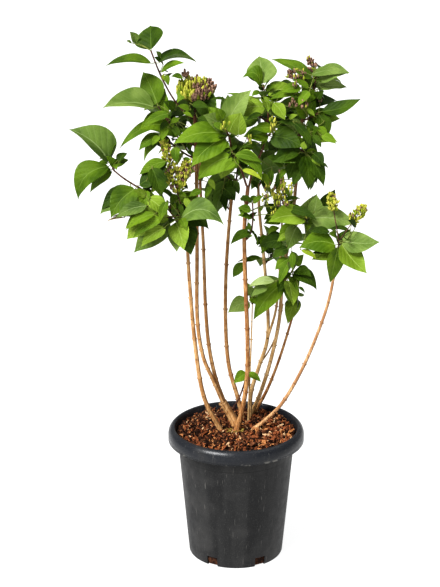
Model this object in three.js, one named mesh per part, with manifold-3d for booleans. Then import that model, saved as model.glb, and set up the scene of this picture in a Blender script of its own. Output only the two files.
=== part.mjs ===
// A common lilac in a black plastic nursery pot, about 1.3 m tall with its pot.
// Millimetres, +Z up. The origin is the centre of the pot's flat underside, and the front is -Y.
import * as THREE from 'three';
import { mergeVertices } from 'three/addons/utils/BufferGeometryUtils.js';
import Module from 'manifold-3d';

const wasm = await Module();
wasm.setup();
const { Manifold, Mesh: SolidMesh } = wasm;

// Clearance between neighbouring solids
const GAP = 0.3;
// How closely a joined mass keeps to its parts
const SIMPLIFY = 0.08;

// Pot: a tapered wall, a rim that folds outward and down, and drain slots at the foot
const POT = {
  height: 327, rimRadius: 164, rimDrop: 34, mouthRadius: 147, neckRadius: 141, neckHeight: 296,
  footRadius: 114.5, wall: 2.2, floor: 3, sides: 32,
};
const SLOT = { count: 6, width: 27, height: 24, depth: 16, firstTurn: Math.PI / 6 };

// Bark mulch that fills the pot: level where the stems stand, a little lower at the wall
const SOIL = { top: 316, edge: 311, levelRadius: 118 };

// Stems and boughs. Each one runs through its points, from its foot to its tip, and tapers from
// the first radius to the last. "flare" widens the foot. Without "on" a stem stands on the mulch.
// With "on" it is seated on that limb's tip, or with "side" on that limb's flank.
const LIMBS = [
  {
    name: 'stump', radii: [9.4, 9.6], flare: 3, points: [[2, 22, 316], [-14, 32, 343], [-33, 32, 374]],
  },
  {
    name: 'stem_a', radii: [5.7, 3.3], flare: 1.6,
    points: [[-37, -7, 316], [-78, -16, 410], [-99, -30, 560], [-110, -42, 711], [-116, -48, 820], [-128, -50, 892]],
  },
  {
    name: 'stem_b', on: 'stump', radii: [4.7, 4.3], flare: 0,
    points: [[-37, 28, 383], [-57, 28, 436], [-81, 30, 499], [-93, 30, 594], [-93, 26, 762], [-93, 22, 933],
      [-96, 18, 1086]],
  },
  {
    name: 'stem_c', on: 'stump', radii: [5.3, 3.1], flare: 0,
    points: [[-31, 37.5, 377], [-49, 44, 429], [-66, 56, 513], [-74, 68, 611], [-78, 80, 745], [-85, 88, 891],
      [-86, 92, 987]],
  },
  {
    name: 'stem_d', radii: [5.4, 3.7], flare: 1,
    points: [[17, 62, 316], [3, 66, 376], [-17, 76, 450], [-25, 88, 539], [-25, 98, 664], [-18, 104, 792],
      [-8, 106, 901]],
  },
  {
    name: 'stem_e', radii: [5.8, 4.4], flare: 2.4,
    points: [[1, -10, 316], [15, -9, 376], [25, -14, 450], [26, -22, 555], [20, -31, 707], [17, -37, 835],
      [25, -40, 936]],
  },
  {
    name: 'bough_e_left', on: 'stem_e', radii: [2.6, 2.1], flare: 0,
    points: [[22.4, -41, 945], [8, -42, 978], [-11, -40, 1014], [-17, -37, 1046]],
  },
  {
    name: 'bough_e_right', on: 'stem_e', radii: [2.5, 1.9], flare: 0,
    points: [[28, -39, 945], [36, -34, 972], [55, -27, 1013], [66, -20, 1053], [70, -15, 1094]],
  },
  {
    name: 'stem_f', radii: [2.4, 1.4], flare: 0.8, points: [[31, 50, 316], [32, 28, 420], [36, 36, 533], [38, 42, 622]],
  },
  {
    name: 'stem_g', radii: [5.2, 3.2], flare: 1.2,
    points: [[34, 72, 316], [37, 62, 388], [56, 64, 455], [75, 66, 522], [75, 68, 611], [64, 72, 743], [54, 75, 841],
      [50, 76, 923]],
  },
  {
    name: 'bough_g', on: 'stem_g', side: true, radii: [3.1, 2.2], flare: 0,
    points: [[76, 66, 528], [94, 50, 602], [101, 42, 683], [105, 38, 771], [106, 36, 828]],
  },
  {
    name: 'bough_g_low', on: 'stem_g', side: true, radii: [1.9, 1.4], flare: 0,
    points: [[65, 62, 464], [79, 76, 489], [94, 88, 519], [107, 92, 569], [113, 92, 605]],
  },
  {
    name: 'stem_h', radii: [4.9, 3.5], flare: 1.2,
    points: [[37, 90, 316], [59, 84, 374], [84, 78, 463], [103, 62, 574], [111, 40, 703], [129, 16, 834],
      [136, 4, 929], [144, -4, 1058], [170, -8, 1145]],
  },
  {
    name: 'stem_j', radii: [4.2, 2.5], flare: 1,
    points: [[46, 104, 316], [77, 106, 376], [107, 112, 457], [133, 118, 546], [148, 120, 608]],
  },
  {
    name: 'stem_k', radii: [4.8, 3.2], flare: 2.6,
    points: [[43, -1, 316], [66, -1, 337], [108, -8, 385], [150, -18, 466], [188, -28, 566], [216, -38, 665],
      [233, -46, 785]],
  },
  {
    name: 'bough_far_left', on: 'stem_a', side: true, radii: [2.5, 1.7], flare: 0,
    points: [[-126, -50, 880], [-171, -62, 901], [-211, -68, 932], [-254, -70, 961], [-277, -70, 980]],
  },
];
const LIMB_SIDES = 6;
const FLARE_LENGTH = 34;
// One ring for about this length of limb
const RING_STEP = 62;

// Masses of foliage. Each has one stem that is seated on the tip of its limb, or on the limb's flank
// at the height "at", and runs to "end". Leaves sit on it in opposite pairs, the first pair at the
// share "from" of its length. "tips" are the leaf tips that make the crown's outline, pair by pair:
// x, y, z, how far the blade turns from the light in degrees, how high it arches and how broad it is.
// "panicles" are bud clusters: their top, x, y, z, their width, the bare share of their stalk, and
// where on the stem that stalk starts. A mass without tips grows by the seeded rule alone, with
// "pairs" pairs of leaves, "sprigs" side shoots and the first pair turned by "turn" degrees.
const MASSES = [
  {
    name: 'panicle_main', on: 'stem_b', end: [-93, 14, 1161],
    tips: [[-154, 60, 1069, -4], [-64, -12, 1123, 4], [-136, -20, 1125, 8], [-53, -14, 1068, 16]],
    panicles: [[-93, 12, 1177, 106, 0, 0.35]],
  },
  {
    name: 'foliage_top_left', on: 'stem_b', at: 1079, end: [-194, 2, 1239], from: 0.7,
    tips: [[-145, 12, 1187, 0, 0.1, 0.7], null, [-117, -30, 1218, 0, 0.12, 0.9], null,
      [-297, -10, 1207, -14, 0.1, 1.05], [-91, 20, 1210, -8, 0.2, 1.05], [-192, 58, 1286, 0, 0.06, 1.3],
      [-252, 40, 1263, 0, 0.1, 0.5]],
  },
  {
    name: 'foliage_upper_left', on: 'stem_b', at: 1017, end: [-179, -8, 1115], from: 0.62,
    tips: [[-220, -60, 1074, 5, 0.26, 1.1], [-127, 50, 1064, 4], [-268, -26, 1020, 10, 0.1, 0.55],
      [-164, 18, 1151, 15], [-303, -35, 1117, -12, 0.2, 1.2], [-215, 50, 1181, 10, 0.08, 1.2]],
  },
  {
    name: 'foliage_left_inner', on: 'stem_b', at: 986, end: [-171, -2, 1049],
    tips: [[-137, -12, 976, 10, 0.1], null, [-193, 24, 1019, 25], null, [-224, -22, 1014, 10, 0.12, 0.8],
      [-213, -4, 983, 0, 0.15, 0.6]],
  },
  {
    name: 'panicles_left', on: 'stem_a', end: [-135, -50, 920],
    tips: [[-114, -60, 916, 20], [-153, -46, 895, 4]],
    panicles: [[-168, -44, 1043, 38], [-115, -52, 998, 29, 0.2]],
  },
  {
    name: 'foliage_far_left', on: 'bough_far_left', end: [-283, -72, 1001],
    tips: [[-335, -52, 923, 5, 0.1, 0.7], [-245, -44, 999, 0, 0.1], [-359, -88, 917, 10, 0.26, 1.1],
      [-377, -66, 1075, -2, 0.24, 1.2]],
  },
  {
    name: 'foliage_left_low', on: 'bough_far_left', at: 929, end: [-226, -92, 951],
    tips: [[-156, -70, 1003, 15, 0.12], [-310, -92, 885, 15, 0.14], [-165, -90, 974, 0, 0.1],
      [-284, -122, 885, 20, 0.12]],
  },
  {
    name: 'foliage_left_bright', on: 'stem_a', at: 870, end: [-184, -78, 869],
    tips: [[-234, -100, 796, 12, 0, 1.15], [-264, -112, 887, 15, 0.1], [-251, -70, 822, 15, 0.12],
      [-254, -92, 850, 5, 0.2]],
  },
  {
    name: 'foliage_arching', on: 'stem_a', at: 853, end: [-141, -76, 869],
    tips: [[-105, -84, 785, 10, 0.1], [-94, -40, 805, 25, 0.1], [-137, -104, 799, 10, 0.1],
      [-64, -60, 838, 15, 0.3], [-120, -124, 810, 10, 0.1], [-30, -108, 864, 10, 0.3]],
  },
  {
    name: 'foliage_centre_left', on: 'bough_e_left', end: [-28, -33, 1070],
    tips: [[-104, -84, 993, 15, 0.1], [8, -58, 1111, 10, 0.1], [-144, -72, 1043, 5, 0.1],
      [-68, 4, 1117, 5, 0.1], [-77, -20, 1106, 10, 0.05], [31, -30, 1157, 10, 0.1]],
  },
  {
    name: 'foliage_centre_low', on: 'bough_e_left', at: 1007, end: [-12, -66, 1023],
    tips: [[-37, -40, 953, 20], [7, 10, 1024, 12], [-89, -66, 958, 20], [51, -78, 996, 20],
      [-34, -10, 990, 29], [56, -84, 956, 8, 0.24]],
  },
  {
    name: 'foliage_top_centre', on: 'bough_e_right', end: [58, -12, 1162],
    tips: [[105, -44, 1089, 10, 0.1], [-14, -52, 1098, 5, 0.1], [118, 34, 1140, 10, 0.1, 0.9],
      [68, -66, 1115, 10, 0.1], [136, 12, 1145, -5, 0.1], [91, 30, 1134, 10, 0.1, 0.9],
      [9, -6, 1177, 0, 0.5, 1.3], [50, 48, 1218, 8, 0.05, 1.35]],
  },
  {
    name: 'foliage_centre_right', on: 'bough_e_right', at: 1046, end: [83, -30, 1069],
    tips: [[13, -48, 1053, 12, 0.1], [148, -58, 1030, 25, 0.1], [33, -20, 1067, -4, 0.1],
      [139, 8, 1069, -12, 0.1]],
  },
  {
    name: 'foliage_d_top', on: 'stem_d', end: [-25, 96, 923],
    tips: [[6, 84, 880, 4], [-25, 86, 847, 12], [-25, 70, 872, 10], [-48, 64, 839, 10], [-63, 104, 832, 10],
      [-72, 60, 884, 20]],
  },
  {
    name: 'foliage_e_sprig', on: 'stem_e', at: 807, end: [35, -52, 900],
    tips: [[-15, -54, 805, 0, 0.1, 0.6], [41, -50, 820, 10, 0.1, 0.6], [0, -46, 872, 0, 0.1, 0.6],
      [41, -60, 857, 5, 0.1, 0.5], [11, -50, 918, 0, 0.1, 0.6], [61, -48, 915, 5, 0.1, 0.7]],
  },
  {
    name: 'foliage_e_low', on: 'stem_e', at: 742, end: [19, -22, 751],
    tips: [[-9, -30, 709, 12, 0.05, 0.75], [59, -12, 755, 0, 0.1, 0.6]],
  },
  {
    name: 'foliage_g_top', on: 'stem_g', end: [59, 66, 958], from: 0.12,
    tips: [[56, 92, 855, 5, 0.1, 0.8], [82, 44, 881, 5, 0.1, 0.8], [34, 60, 899, 0, 0.1, 0.9],
      [120, 20, 963, 10, 0.1], [31, 60, 990, 10, 0.1, 0.9], [91, 56, 996, 10, 0.1, 0.9]],
  },
  {
    name: 'foliage_g_low', on: 'stem_g', at: 765, end: [72, 52, 794],
    tips: [[45, 30, 776, 10, 0.1], [98, 40, 753, 10, 0.1], [60, 24, 753, 10, 0.1], [102, 44, 811, 25, 0.1]],
  },
  {
    name: 'panicle_centre', on: 'bough_g', end: [103, 30, 844], from: 0.3,
    tips: [[63, 0, 834, 5, 0.1, 0.8], [143, 20, 833, 5, 0.1, 0.7], [61, 14, 876, 0, 0.1, 0.7],
      [140, 14, 880, 0, 0.1, 0.6]],
    panicles: [[98, 28, 937, 47]],
  },
  {
    name: 'foliage_right_low', on: 'bough_g', at: 673, end: [137, 6, 729],
    tips: [[25, 6, 675, 5, 0.1], [124, 0, 640, 10, 0.1], [40, -14, 602, 10, 0.12], [132, -26, 641, 10, 0.1],
      [93, 20, 730, 10, 0.1], [141, -24, 678, 10, 0.1], [175, -14, 709, 5, 0.2], [188, -10, 675, 5, 0.18],
      [126, -8, 771, 10, 0.1], [158, 10, 753, 15, 0.1]],
  },
  {
    name: 'foliage_j_top', on: 'stem_j', end: [147, 112, 628],
    tips: [[164, 100, 630, 0, 0.1, 0.8], [124, 70, 561, 10, 0.1, 0.8], [147, 96, 593, 10, 0.1, 0.8],
      [115, 84, 602, 10, 0.1, 0.8]],
  },
  {
    name: 'foliage_f_top', on: 'stem_f', end: [32, 38, 641],
    tips: [[-20, 14, 610, 15, 0.14], [61, 36, 665, 15, 0.1], [23, 40, 678, 10, 0.1], [51, 24, 624, 10, 0.1]],
  },
  {
    name: 'foliage_foot', on: 'stump', at: 350, end: [26, 20, 458],
    tips: [[-3, -4, 438, -10, 0.1, 0.9], [60, 2, 438, -28, 0.06, 0.9]],
  },
  {
    name: 'foliage_top_right', on: 'stem_h', end: [177, -10, 1180],
    tips: [[142, -50, 1125, 10, 0.1], [251, 14, 1153, -22, 0.06, 0.9], [197, 10, 1116, 10, 0.1],
      [124, 14, 1172, 5, 0.1], [252, -28, 1195, 5, 0.14], [75, -16, 1224, -17, 0.06]],
    panicles: [[159, -20, 1230, 32, 0.25], [115, -30, 1191, 32, 0.3]],
  },
  {
    name: 'foliage_upper_right', on: 'stem_h', at: 1084, end: [182, -28, 1104],
    tips: [[234, -4, 1084, 5, 0.06], [118, -30, 1138, 10, 0.1], [277, -42, 1140, 0, -0.07, 0.65],
      [205, -44, 1054, 10, 0.1]],
  },
  {
    name: 'foliage_right_side', on: 'stem_h', at: 1063, end: [162, -36, 1052],
    tips: [[227, -54, 1041, -4, -0.04], [106, -30, 1079, 15, 0.1], [150, -62, 1022, 10, 0.1],
      [185, -60, 1077, 15, 0.1]],
  },
  {
    name: 'foliage_right_hanging', on: 'stem_h', at: 1015, end: [156, -36, 1013],
    tips: [[116, -34, 949, 10, 0.1], [106, -30, 1000, 25, 0.1], [192, -30, 1000, 10, 0.1, 0.8],
      [79, -34, 996, 15, 0.1], [197, -40, 939, 10, 0.1, 0.75], [162, -72, 932, 10, 0.08]],
  },
  {
    name: 'foliage_right_mid', on: 'stem_h', at: 829, end: [165, -22, 857],
    tips: [[117, -40, 783, 10, 0.1], [98, -12, 794, 10, 0.1], [105, -34, 882, 5, 0.1],
      [188, -24, 913, 10, 0.08], [275, -54, 844, 10, 0.06], [71, -50, 861, 0, 0.1]],
  },
  {
    name: 'foliage_k_top', on: 'stem_k', end: [234, -52, 809],
    tips: [[173, -48, 762, 15, 0.05, 1.1], [260, -34, 832, 5, 0.1], [142, -70, 798, 15, 0.14],
      [214, -76, 715, 10, 0.1], [297, -92, 744, 10, -0.06, 1.1], [327, -66, 811, 8, -0.05]],
    panicles: [[215, -30, 917, 34, 0.6], [290, -44, 892, 40, 0.45]],
  },
  { name: 'back_c_top', on: 'stem_c', end: [-79, 130, 1040], pairs: 3, sprigs: 1, turn: 20, seed: 3 },
  { name: 'back_c_side', on: 'stem_c', at: 934, end: [-53, 176, 965], pairs: 3, sprigs: 1, turn: 60, seed: 5 },
  { name: 'back_upper_left', on: 'stem_c', at: 963, end: [-161, 130, 1054], pairs: 3, sprigs: 1, turn: 10, seed: 8 },
  { name: 'back_left', on: 'stem_a', at: 839, end: [-183, 20, 896], pairs: 3, sprigs: 1, turn: 40, seed: 9 },
  { name: 'back_d_side', on: 'stem_d', at: 886, end: [4, 176, 946], pairs: 3, sprigs: 1, turn: 0, seed: 12 },
  { name: 'back_d_low', on: 'stem_d', at: 837, end: [-53, 150, 868], pairs: 2, sprigs: 1, turn: 80, seed: 14 },
  { name: 'back_e_top', on: 'bough_e_right', at: 1082, end: [30, 70, 1092], pairs: 3, turn: 30, seed: 17 },
  { name: 'back_g_top', on: 'stem_g', at: 904, end: [80, 150, 972], pairs: 3, sprigs: 1, turn: 50, seed: 19 },
  { name: 'back_h_top', on: 'stem_h', at: 1091, end: [152, 70, 1130], pairs: 3, sprigs: 1, turn: 15, seed: 22 },
  { name: 'back_h_upper', on: 'stem_h', at: 1039, end: [130, 110, 1040], pairs: 3, sprigs: 1, turn: 70, seed: 24 },
  { name: 'back_h_mid', on: 'stem_h', at: 972, end: [163, 96, 962], pairs: 3, sprigs: 1, turn: 100, seed: 28 },
  { name: 'back_h_low', on: 'stem_h', at: 846, end: [194, 96, 805], pairs: 3, sprigs: 1, turn: 5, seed: 29 },
  { name: 'back_g_low', on: 'stem_g', at: 713, end: [101, 146, 739], pairs: 3, turn: 25, seed: 31 },
];

// Twigs, petioles and leaves
const TWIG = { radius: 1.9, tipRadius: 1.2, sides: 3, steps: 3, firstNode: 0.42, bulge: 0.18 };
const PETIOLE = { share: 0.11, radius: 0.9 };
const LEAF = {
  length: 84, width: 0.7, widest: 56, thickness: 0.018, fold: 0.14, arch: 0.12,
  // Half widths, as shares of the full half width, at two places along the midrib
  shoulderAt: 0.16, shoulder: 0.94, waistAt: 0.54, waist: 0.84, ridgeAt: 0.42,
};
// A leaf's corners: the petiole's foot 0 to 2 and end 3 to 5, the tip 6, the right shoulder 7 and
// waist 8, the left shoulder 9 and waist 10, and the midrib's ridge 11 above and 12 below
const PETIOLE_FACES = [[0, 1, 2], [0, 4, 1], [0, 3, 4], [1, 5, 2], [1, 4, 5], [2, 3, 0], [2, 5, 3]];
const BLADE_FACES = [
  [3, 11, 4], [3, 7, 11], [4, 11, 9], [7, 8, 11], [9, 11, 10], [8, 6, 11], [10, 11, 6],
  [3, 12, 7], [3, 5, 12], [5, 4, 12], [4, 9, 12], [7, 12, 8], [9, 10, 12], [8, 12, 6], [10, 6, 12],
];
// What the rule leaves open: jitter of a leaf's turn about its twig, shares of the length, width and
// arch, and the roll of its blade in degrees
const VARY = { turn: [-0.25, 0.25], length: [0.78, 1.18], width: [0.9, 1.1], roll: [-37, 13], arch: [0.6, 1.5] };
// Side shoots of a mass's stem: where they start along it, how long and how steep they grow
const SPRIG = { first: 0.25, step: 0.3, length: [50, 74], lift: 31, leafShare: 0.66, pairs: 2, tipShare: 0.8 };
// The crown is broad from side to side and shallow from front to back, about this middle in Y
const CROWN = { middle: 60, flatness: 0.25, edgeOn: 0.35 };
const SPREAD = THREE.MathUtils.degToRad(58);
const DROOP = 0.3;
// A leaf's neighbours stay this far from its blade
const LEAF_CLEARANCE = 0.6;
// Where a leaf is tried in turn: how far forward its tip moves, and how far its blade turns in degrees
const SWINGS = [
  [0, 0], [12, 0], [-12, 0], [0, 16], [0, -16], [24, 0], [-24, 0], [24, -16], [-24, 16], [36, 0], [-36, 0],
];
// The space of a mass that grows by the rule alone, from the middle of its stem
const MASS_REACH = 165;
// Bud clusters: a core and rows of buds around it. "wide" is the width from which a cluster has a thick
// core and short branchlets, "swell" the arc of the rows' spread, "rise" how far the buds lean up.
const PANICLE = {
  budWidth: 9, branchletWidth: 13, axisWidth: 5, coreShare: 0.45, sunk: 0.22, wide: 60,
  rowStep: 20, rows: [2, 4], rowsShare: 0.85, rowTurn: 1.1, jitter: 0.4, swell: [0.28, 0.9], rise: 0.6, overlap: 1.1,
};

const UP = new THREE.Vector3(0, 0, 1);
const FRONT = new THREE.Vector3(0, 1, 0);
const vec = (p) => new THREE.Vector3(p[0], p[1], p[2]);
const between = (range, share) => THREE.MathUtils.lerp(range[0], range[1], share);

// A seeded generator of shares from 0 to 1, which gives the same whole numbers on any machine
const GENERATOR = { multiplier: 16807, modulus: 2147483647, seedStep: 7919, seedShift: 17 };
function seeded(seed) {
  let state = seed * GENERATOR.seedStep + GENERATOR.seedShift;
  return () => {
    state = (state * GENERATOR.multiplier) % GENERATOR.modulus;
    return state / GENERATOR.modulus;
  };
}

function finish(roughness, color, metalness = 0) {
  return new THREE.MeshStandardMaterial({ color, roughness, metalness });
}

const BLACK_PLASTIC = finish(0.5, 0x34363a);
const BARK_MULCH = finish(0.95, 0x6b3a28);
const STEM_BARK = finish(0.7, 0xb07a4a);
const LEAF_GREEN = finish(0.5, 0x4f7d22);

// A closed geometry with shared vertices, as a solid
function solidOf(geometry) {
  const bare = geometry.clone();
  bare.deleteAttribute('normal');
  bare.deleteAttribute('uv');
  const merged = mergeVertices(bare, 1e-5);
  return new Manifold(new SolidMesh({
    numProp: 3,
    vertProperties: new Float32Array(merged.attributes.position.array),
    triVerts: new Uint32Array(merged.index.array),
  }));
}

// The largest closed body of a solid, as a geometry: loose scraps are dropped
function geometryOf(solid) {
  const bodies = solid.decompose().sort((a, b) => b.volume() - a.volume());
  const mesh = bodies[0].getMesh();
  const geometry = new THREE.BufferGeometry();
  geometry.setAttribute('position', new THREE.BufferAttribute(new Float32Array(mesh.vertProperties), 3));
  geometry.setIndex(new THREE.BufferAttribute(new Uint32Array(mesh.triVerts), 1));
  geometry.computeVertexNormals();
  return geometry;
}

// A round bar bent along a curve: frame(u) gives its centre, its two cross directions and its radius
function bend(frame, sides, steps) {
  const bar = new THREE.CylinderGeometry(1, 1, 1, sides, steps);
  const place = bar.attributes.position;
  for (let i = 0; i < place.count; i += 1) {
    const { centre, side, other, radius } = frame(THREE.MathUtils.clamp(place.getY(i) + 0.5, 0, 1));
    const point = centre.clone()
      .addScaledVector(side, place.getX(i) * radius)
      .addScaledVector(other, place.getZ(i) * radius);
    place.setXYZ(i, point.x, point.y, point.z);
  }
  return bar;
}

// Two directions across a tangent, the first one square to the reference direction
function across(tangent, reference) {
  const side = new THREE.Vector3().crossVectors(reference, tangent).normalize();
  return { side, other: new THREE.Vector3().crossVectors(side, tangent) };
}

function potProfile() {
  const { height, rimRadius, rimDrop, mouthRadius, neckRadius, neckHeight, footRadius, wall, floor } = POT;
  const outline = [
    [0, 0], [footRadius - 3, 0], [footRadius, 3], [neckRadius, neckHeight], [mouthRadius - 1, height - 9],
    [rimRadius - wall, height - 12], [rimRadius - wall, height - rimDrop], [rimRadius, height - rimDrop],
    [rimRadius, height - 8], [rimRadius - 3, height - 2.5], [rimRadius - 8, height], [mouthRadius + 3, height - 1.5],
    [mouthRadius, height - 6], [neckRadius - wall, neckHeight], [footRadius - wall, floor], [0, floor],
  ];
  return outline.map(([radius, z]) => new THREE.Vector2(radius, z));
}

function potGeometry() {
  const shell = new THREE.LatheGeometry(potProfile(), POT.sides).rotateX(Math.PI / 2);
  let pot = solidOf(shell);
  for (let i = 0; i < SLOT.count; i += 1) {
    const cutter = new THREE.BoxGeometry(SLOT.width, SLOT.depth * 2, SLOT.height * 2)
      .translate(0, -POT.footRadius, 0)
      .rotateZ(SLOT.firstTurn + (i * 2 * Math.PI) / SLOT.count);
    pot = pot.subtract(solidOf(cutter));
  }
  return geometryOf(pot);
}

// Radius of the pot's inside at a height
function insideRadius(z) {
  const foot = POT.footRadius - POT.wall;
  const neck = POT.neckRadius - POT.wall;
  if (z <= POT.neckHeight) {
    return THREE.MathUtils.mapLinear(z, POT.floor, POT.neckHeight, foot, neck);
  }
  return THREE.MathUtils.mapLinear(z, POT.neckHeight, POT.height - 6, neck, POT.mouthRadius);
}

function soilGeometry() {
  const bottom = POT.floor + GAP;
  const outline = [
    [0, bottom], [insideRadius(bottom) - 2 * GAP, bottom],
    [insideRadius(POT.neckHeight) - 2 * GAP, POT.neckHeight], [insideRadius(SOIL.edge) - 2 * GAP, SOIL.edge],
    [SOIL.levelRadius, SOIL.top], [0, SOIL.top],
  ].map(([radius, z]) => new THREE.Vector2(radius, z));
  return new THREE.LatheGeometry(outline, POT.sides).rotateX(Math.PI / 2);
}

// Limbs, as curves with a radius, kept by name so that other limbs and the foliage can sit on them
const limbs = new Map();

function makeLimb({ name, on, side: onSide, radii, flare, points }) {
  const path = points.map(vec);
  let seat = UP;
  if (!on) {
    path[0].z = SOIL.top + GAP;
  } else if (onSide) {
    const mount = flankOf(limbs.get(on), path[0].z, path[1]);
    path[0].copy(mount.point);
    seat = mount.normal;
  } else {
    const parent = limbs.get(on);
    seat = parent.tipWay;
    path[0].addScaledVector(seat, GAP - path[0].clone().sub(parent.tip).dot(seat));
  }
  const curve = new THREE.CatmullRomCurve3(path, false, 'catmullrom', 0.5);
  const length = curve.getLength();
  const steps = Math.max(3, Math.round(length / RING_STEP));
  const rings = [];
  for (let i = 0; i <= steps; i += 1) {
    const u = i / steps;
    const tangent = i === 0 ? seat : curve.getTangent(u);
    const radius = THREE.MathUtils.lerp(radii[0], radii[1], u) + flare * Math.exp((-u * length) / FLARE_LENGTH);
    rings.push({ centre: curve.getPoint(u), tangent, radius, ...across(tangent, FRONT) });
  }
  return { name, rings, tip: rings[steps].centre, tipWay: rings[steps].tangent };
}

// The place on a limb at a height, on the flat of its six sides that best faces a target
function flankOf(limb, height, target) {
  const above = Math.max(1, limb.rings.findIndex(({ centre }) => centre.z > height));
  const [low, high] = [limb.rings[above - 1], limb.rings[above]];
  const share = (height - low.centre.z) / (high.centre.z - low.centre.z);
  const centre = low.centre.clone().lerp(high.centre, share);
  const { side, other } = across(high.centre.clone().sub(low.centre).normalize(), FRONT);
  const inner = THREE.MathUtils.lerp(low.radius, high.radius, share) * Math.cos(Math.PI / LIMB_SIDES);
  const outward = target.clone().sub(centre);
  const flats = [...Array(LIMB_SIDES).keys()].map((k) => {
    const turn = ((k + 0.5) * 2 * Math.PI) / LIMB_SIDES;
    return side.clone().multiplyScalar(Math.sin(turn)).addScaledVector(other, Math.cos(turn));
  });
  const normal = flats.reduce((best, flat) => (flat.dot(outward) > best.dot(outward) ? flat : best));
  return { point: centre.addScaledVector(normal, inner + GAP), normal };
}

function limbGeometry(limb) {
  const steps = limb.rings.length - 1;
  return bend((u) => limb.rings[Math.round(u * steps)], LIMB_SIDES, steps);
}

// A twig: a bar that leaves its seat square to it and curves to its end
function makeTwig(start, normal, end, radii, bulge) {
  const reach = start.distanceTo(end);
  const control = start.clone().lerp(end, bulge).addScaledVector(normal, reach * bulge);
  const curve = new THREE.QuadraticBezierCurve3(start, control, end);
  const binormal = new THREE.Vector3().crossVectors(normal, end.clone().sub(start));
  if (binormal.length() < reach * 0.02) {
    binormal.crossVectors(normal, Math.abs(normal.z) > 0.7 ? new THREE.Vector3(1, 0, 0) : UP);
  }
  binormal.normalize();
  const radiusAt = (u) => THREE.MathUtils.lerp(radii[0], radii[1], u);
  const frame = (u) => {
    const tangent = u === 0 ? normal : curve.getTangent(u);
    return {
      centre: curve.getPoint(u), radius: radiusAt(u),
      side: binormal, other: new THREE.Vector3().crossVectors(binormal, tangent),
    };
  };
  return { curve, geometry: bend(frame, TWIG.sides, TWIG.steps) };
}

// Directions square to a leaf's chord: "face", to the light, up and out of the crown, "flat" across
// it, and "arch", the way the midrib bows: up on a level leaf, out on one that hangs or stands
function crossWays(chord, base) {
  const along = chord.clone().normalize();
  const squared = (way) => way.clone().addScaledVector(along, -way.dot(along));
  const outside = new THREE.Vector3(base.x * CROWN.flatness, base.y - CROWN.middle, 0).normalize();
  const up = squared(UP);
  const face = squared(outside.clone().add(UP));
  face.addScaledVector(up, face.length() < CROWN.edgeOn ? 1 : 0).normalize();
  const flat = new THREE.Vector3().crossVectors(along, face);
  flat.multiplyScalar(flat.dot(outside) < 0 ? -1 : 1);
  return { face, flat, arch: up.addScaledVector(face, 1 - up.length()) };
}

// A leaf's corners, from its node to its tip: a petiole, then a blade folded along its midrib.
// "margin" makes the blade that much larger all round.
function leafCorners(node, tip, leaf, margin) {
  const base = node.clone().lerp(tip, PETIOLE.share);
  const chord = tip.clone().sub(base);
  const length = chord.length();
  const { face, flat, arch } = crossWays(chord, base);
  const turn = THREE.MathUtils.degToRad(leaf.turn);
  const normal = face.clone().multiplyScalar(Math.cos(turn)).addScaledVector(flat, Math.sin(turn));
  const side = new THREE.Vector3().crossVectors(chord, normal).normalize();
  const control = base.clone().add(tip).multiplyScalar(0.5).addScaledVector(arch, leaf.arch * 2 * length);
  const midrib = new THREE.QuadraticBezierCurve3(base, control, tip);
  const halfWidth = (Math.min(length * LEAF.width, LEAF.widest) * leaf.widthShare) / 2;
  const edge = (at, share, way) => midrib.getPoint(at)
    .addScaledVector(side, way * (halfWidth * share + margin))
    .addScaledVector(normal, halfWidth * share * LEAF.fold);
  const ridge = (way) => midrib.getPoint(LEAF.ridgeAt)
    .addScaledVector(normal, way * ((length * LEAF.thickness) / 2 + margin));
  const ring = (centre) => [
    centre.clone().addScaledVector(side, PETIOLE.radius).addScaledVector(normal, PETIOLE.radius / 2),
    centre.clone().addScaledVector(side, -PETIOLE.radius).addScaledVector(normal, PETIOLE.radius / 2),
    centre.clone().addScaledVector(normal, -PETIOLE.radius),
  ];
  return [
    ...ring(node), ...ring(base), tip.clone().addScaledVector(chord, margin / length),
    edge(LEAF.shoulderAt, LEAF.shoulder, 1), edge(LEAF.waistAt, LEAF.waist, 1),
    edge(LEAF.shoulderAt, LEAF.shoulder, -1), edge(LEAF.waistAt, LEAF.waist, -1),
    ridge(1), ridge(-1),
  ];
}

function facesOf(corners, faces) {
  const geometry = new THREE.BufferGeometry().setFromPoints(corners);
  geometry.setIndex(faces.flat());
  return geometry;
}

// What stands already: triangles of every limb, twig, leaf and bud, for the rule that skips a leaf
const standing = [];

function trianglesOf(geometry, owner) {
  const place = geometry.attributes.position;
  const order = geometry.index ? Array.from(geometry.index.array) : [...Array(place.count).keys()];
  const points = order.map((i) => new THREE.Vector3().fromBufferAttribute(place, i));
  return { owner, points, box: new THREE.Box3().setFromPoints(points) };
}

const ray = new THREE.Ray();
const hit = new THREE.Vector3();

// Whether any side of one set's triangles goes through a triangle of the other
function pierces(one, other) {
  for (let i = 0; i < one.points.length; i += 3) {
    for (let k = 0; k < 3; k += 1) {
      const from = one.points[i + k];
      const to = one.points[i + ((k + 1) % 3)];
      const length = from.distanceTo(to);
      ray.origin.copy(from);
      ray.direction.copy(to).sub(from).divideScalar(length);
      for (let j = 0; j < other.points.length; j += 3) {
        const [a, b, c] = [other.points[j], other.points[j + 1], other.points[j + 2]];
        if (length > 1e-6 && ray.intersectTriangle(a, b, c, false, hit) && hit.distanceTo(from) <= length) {
          return true;
        }
      }
    }
  }
  return false;
}

function touches(shape, except) {
  return standing.some((there) => there.owner !== except && there.box.intersectsBox(shape.box)
    && (pierces(shape, there) || pierces(there, shape)));
}

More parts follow.
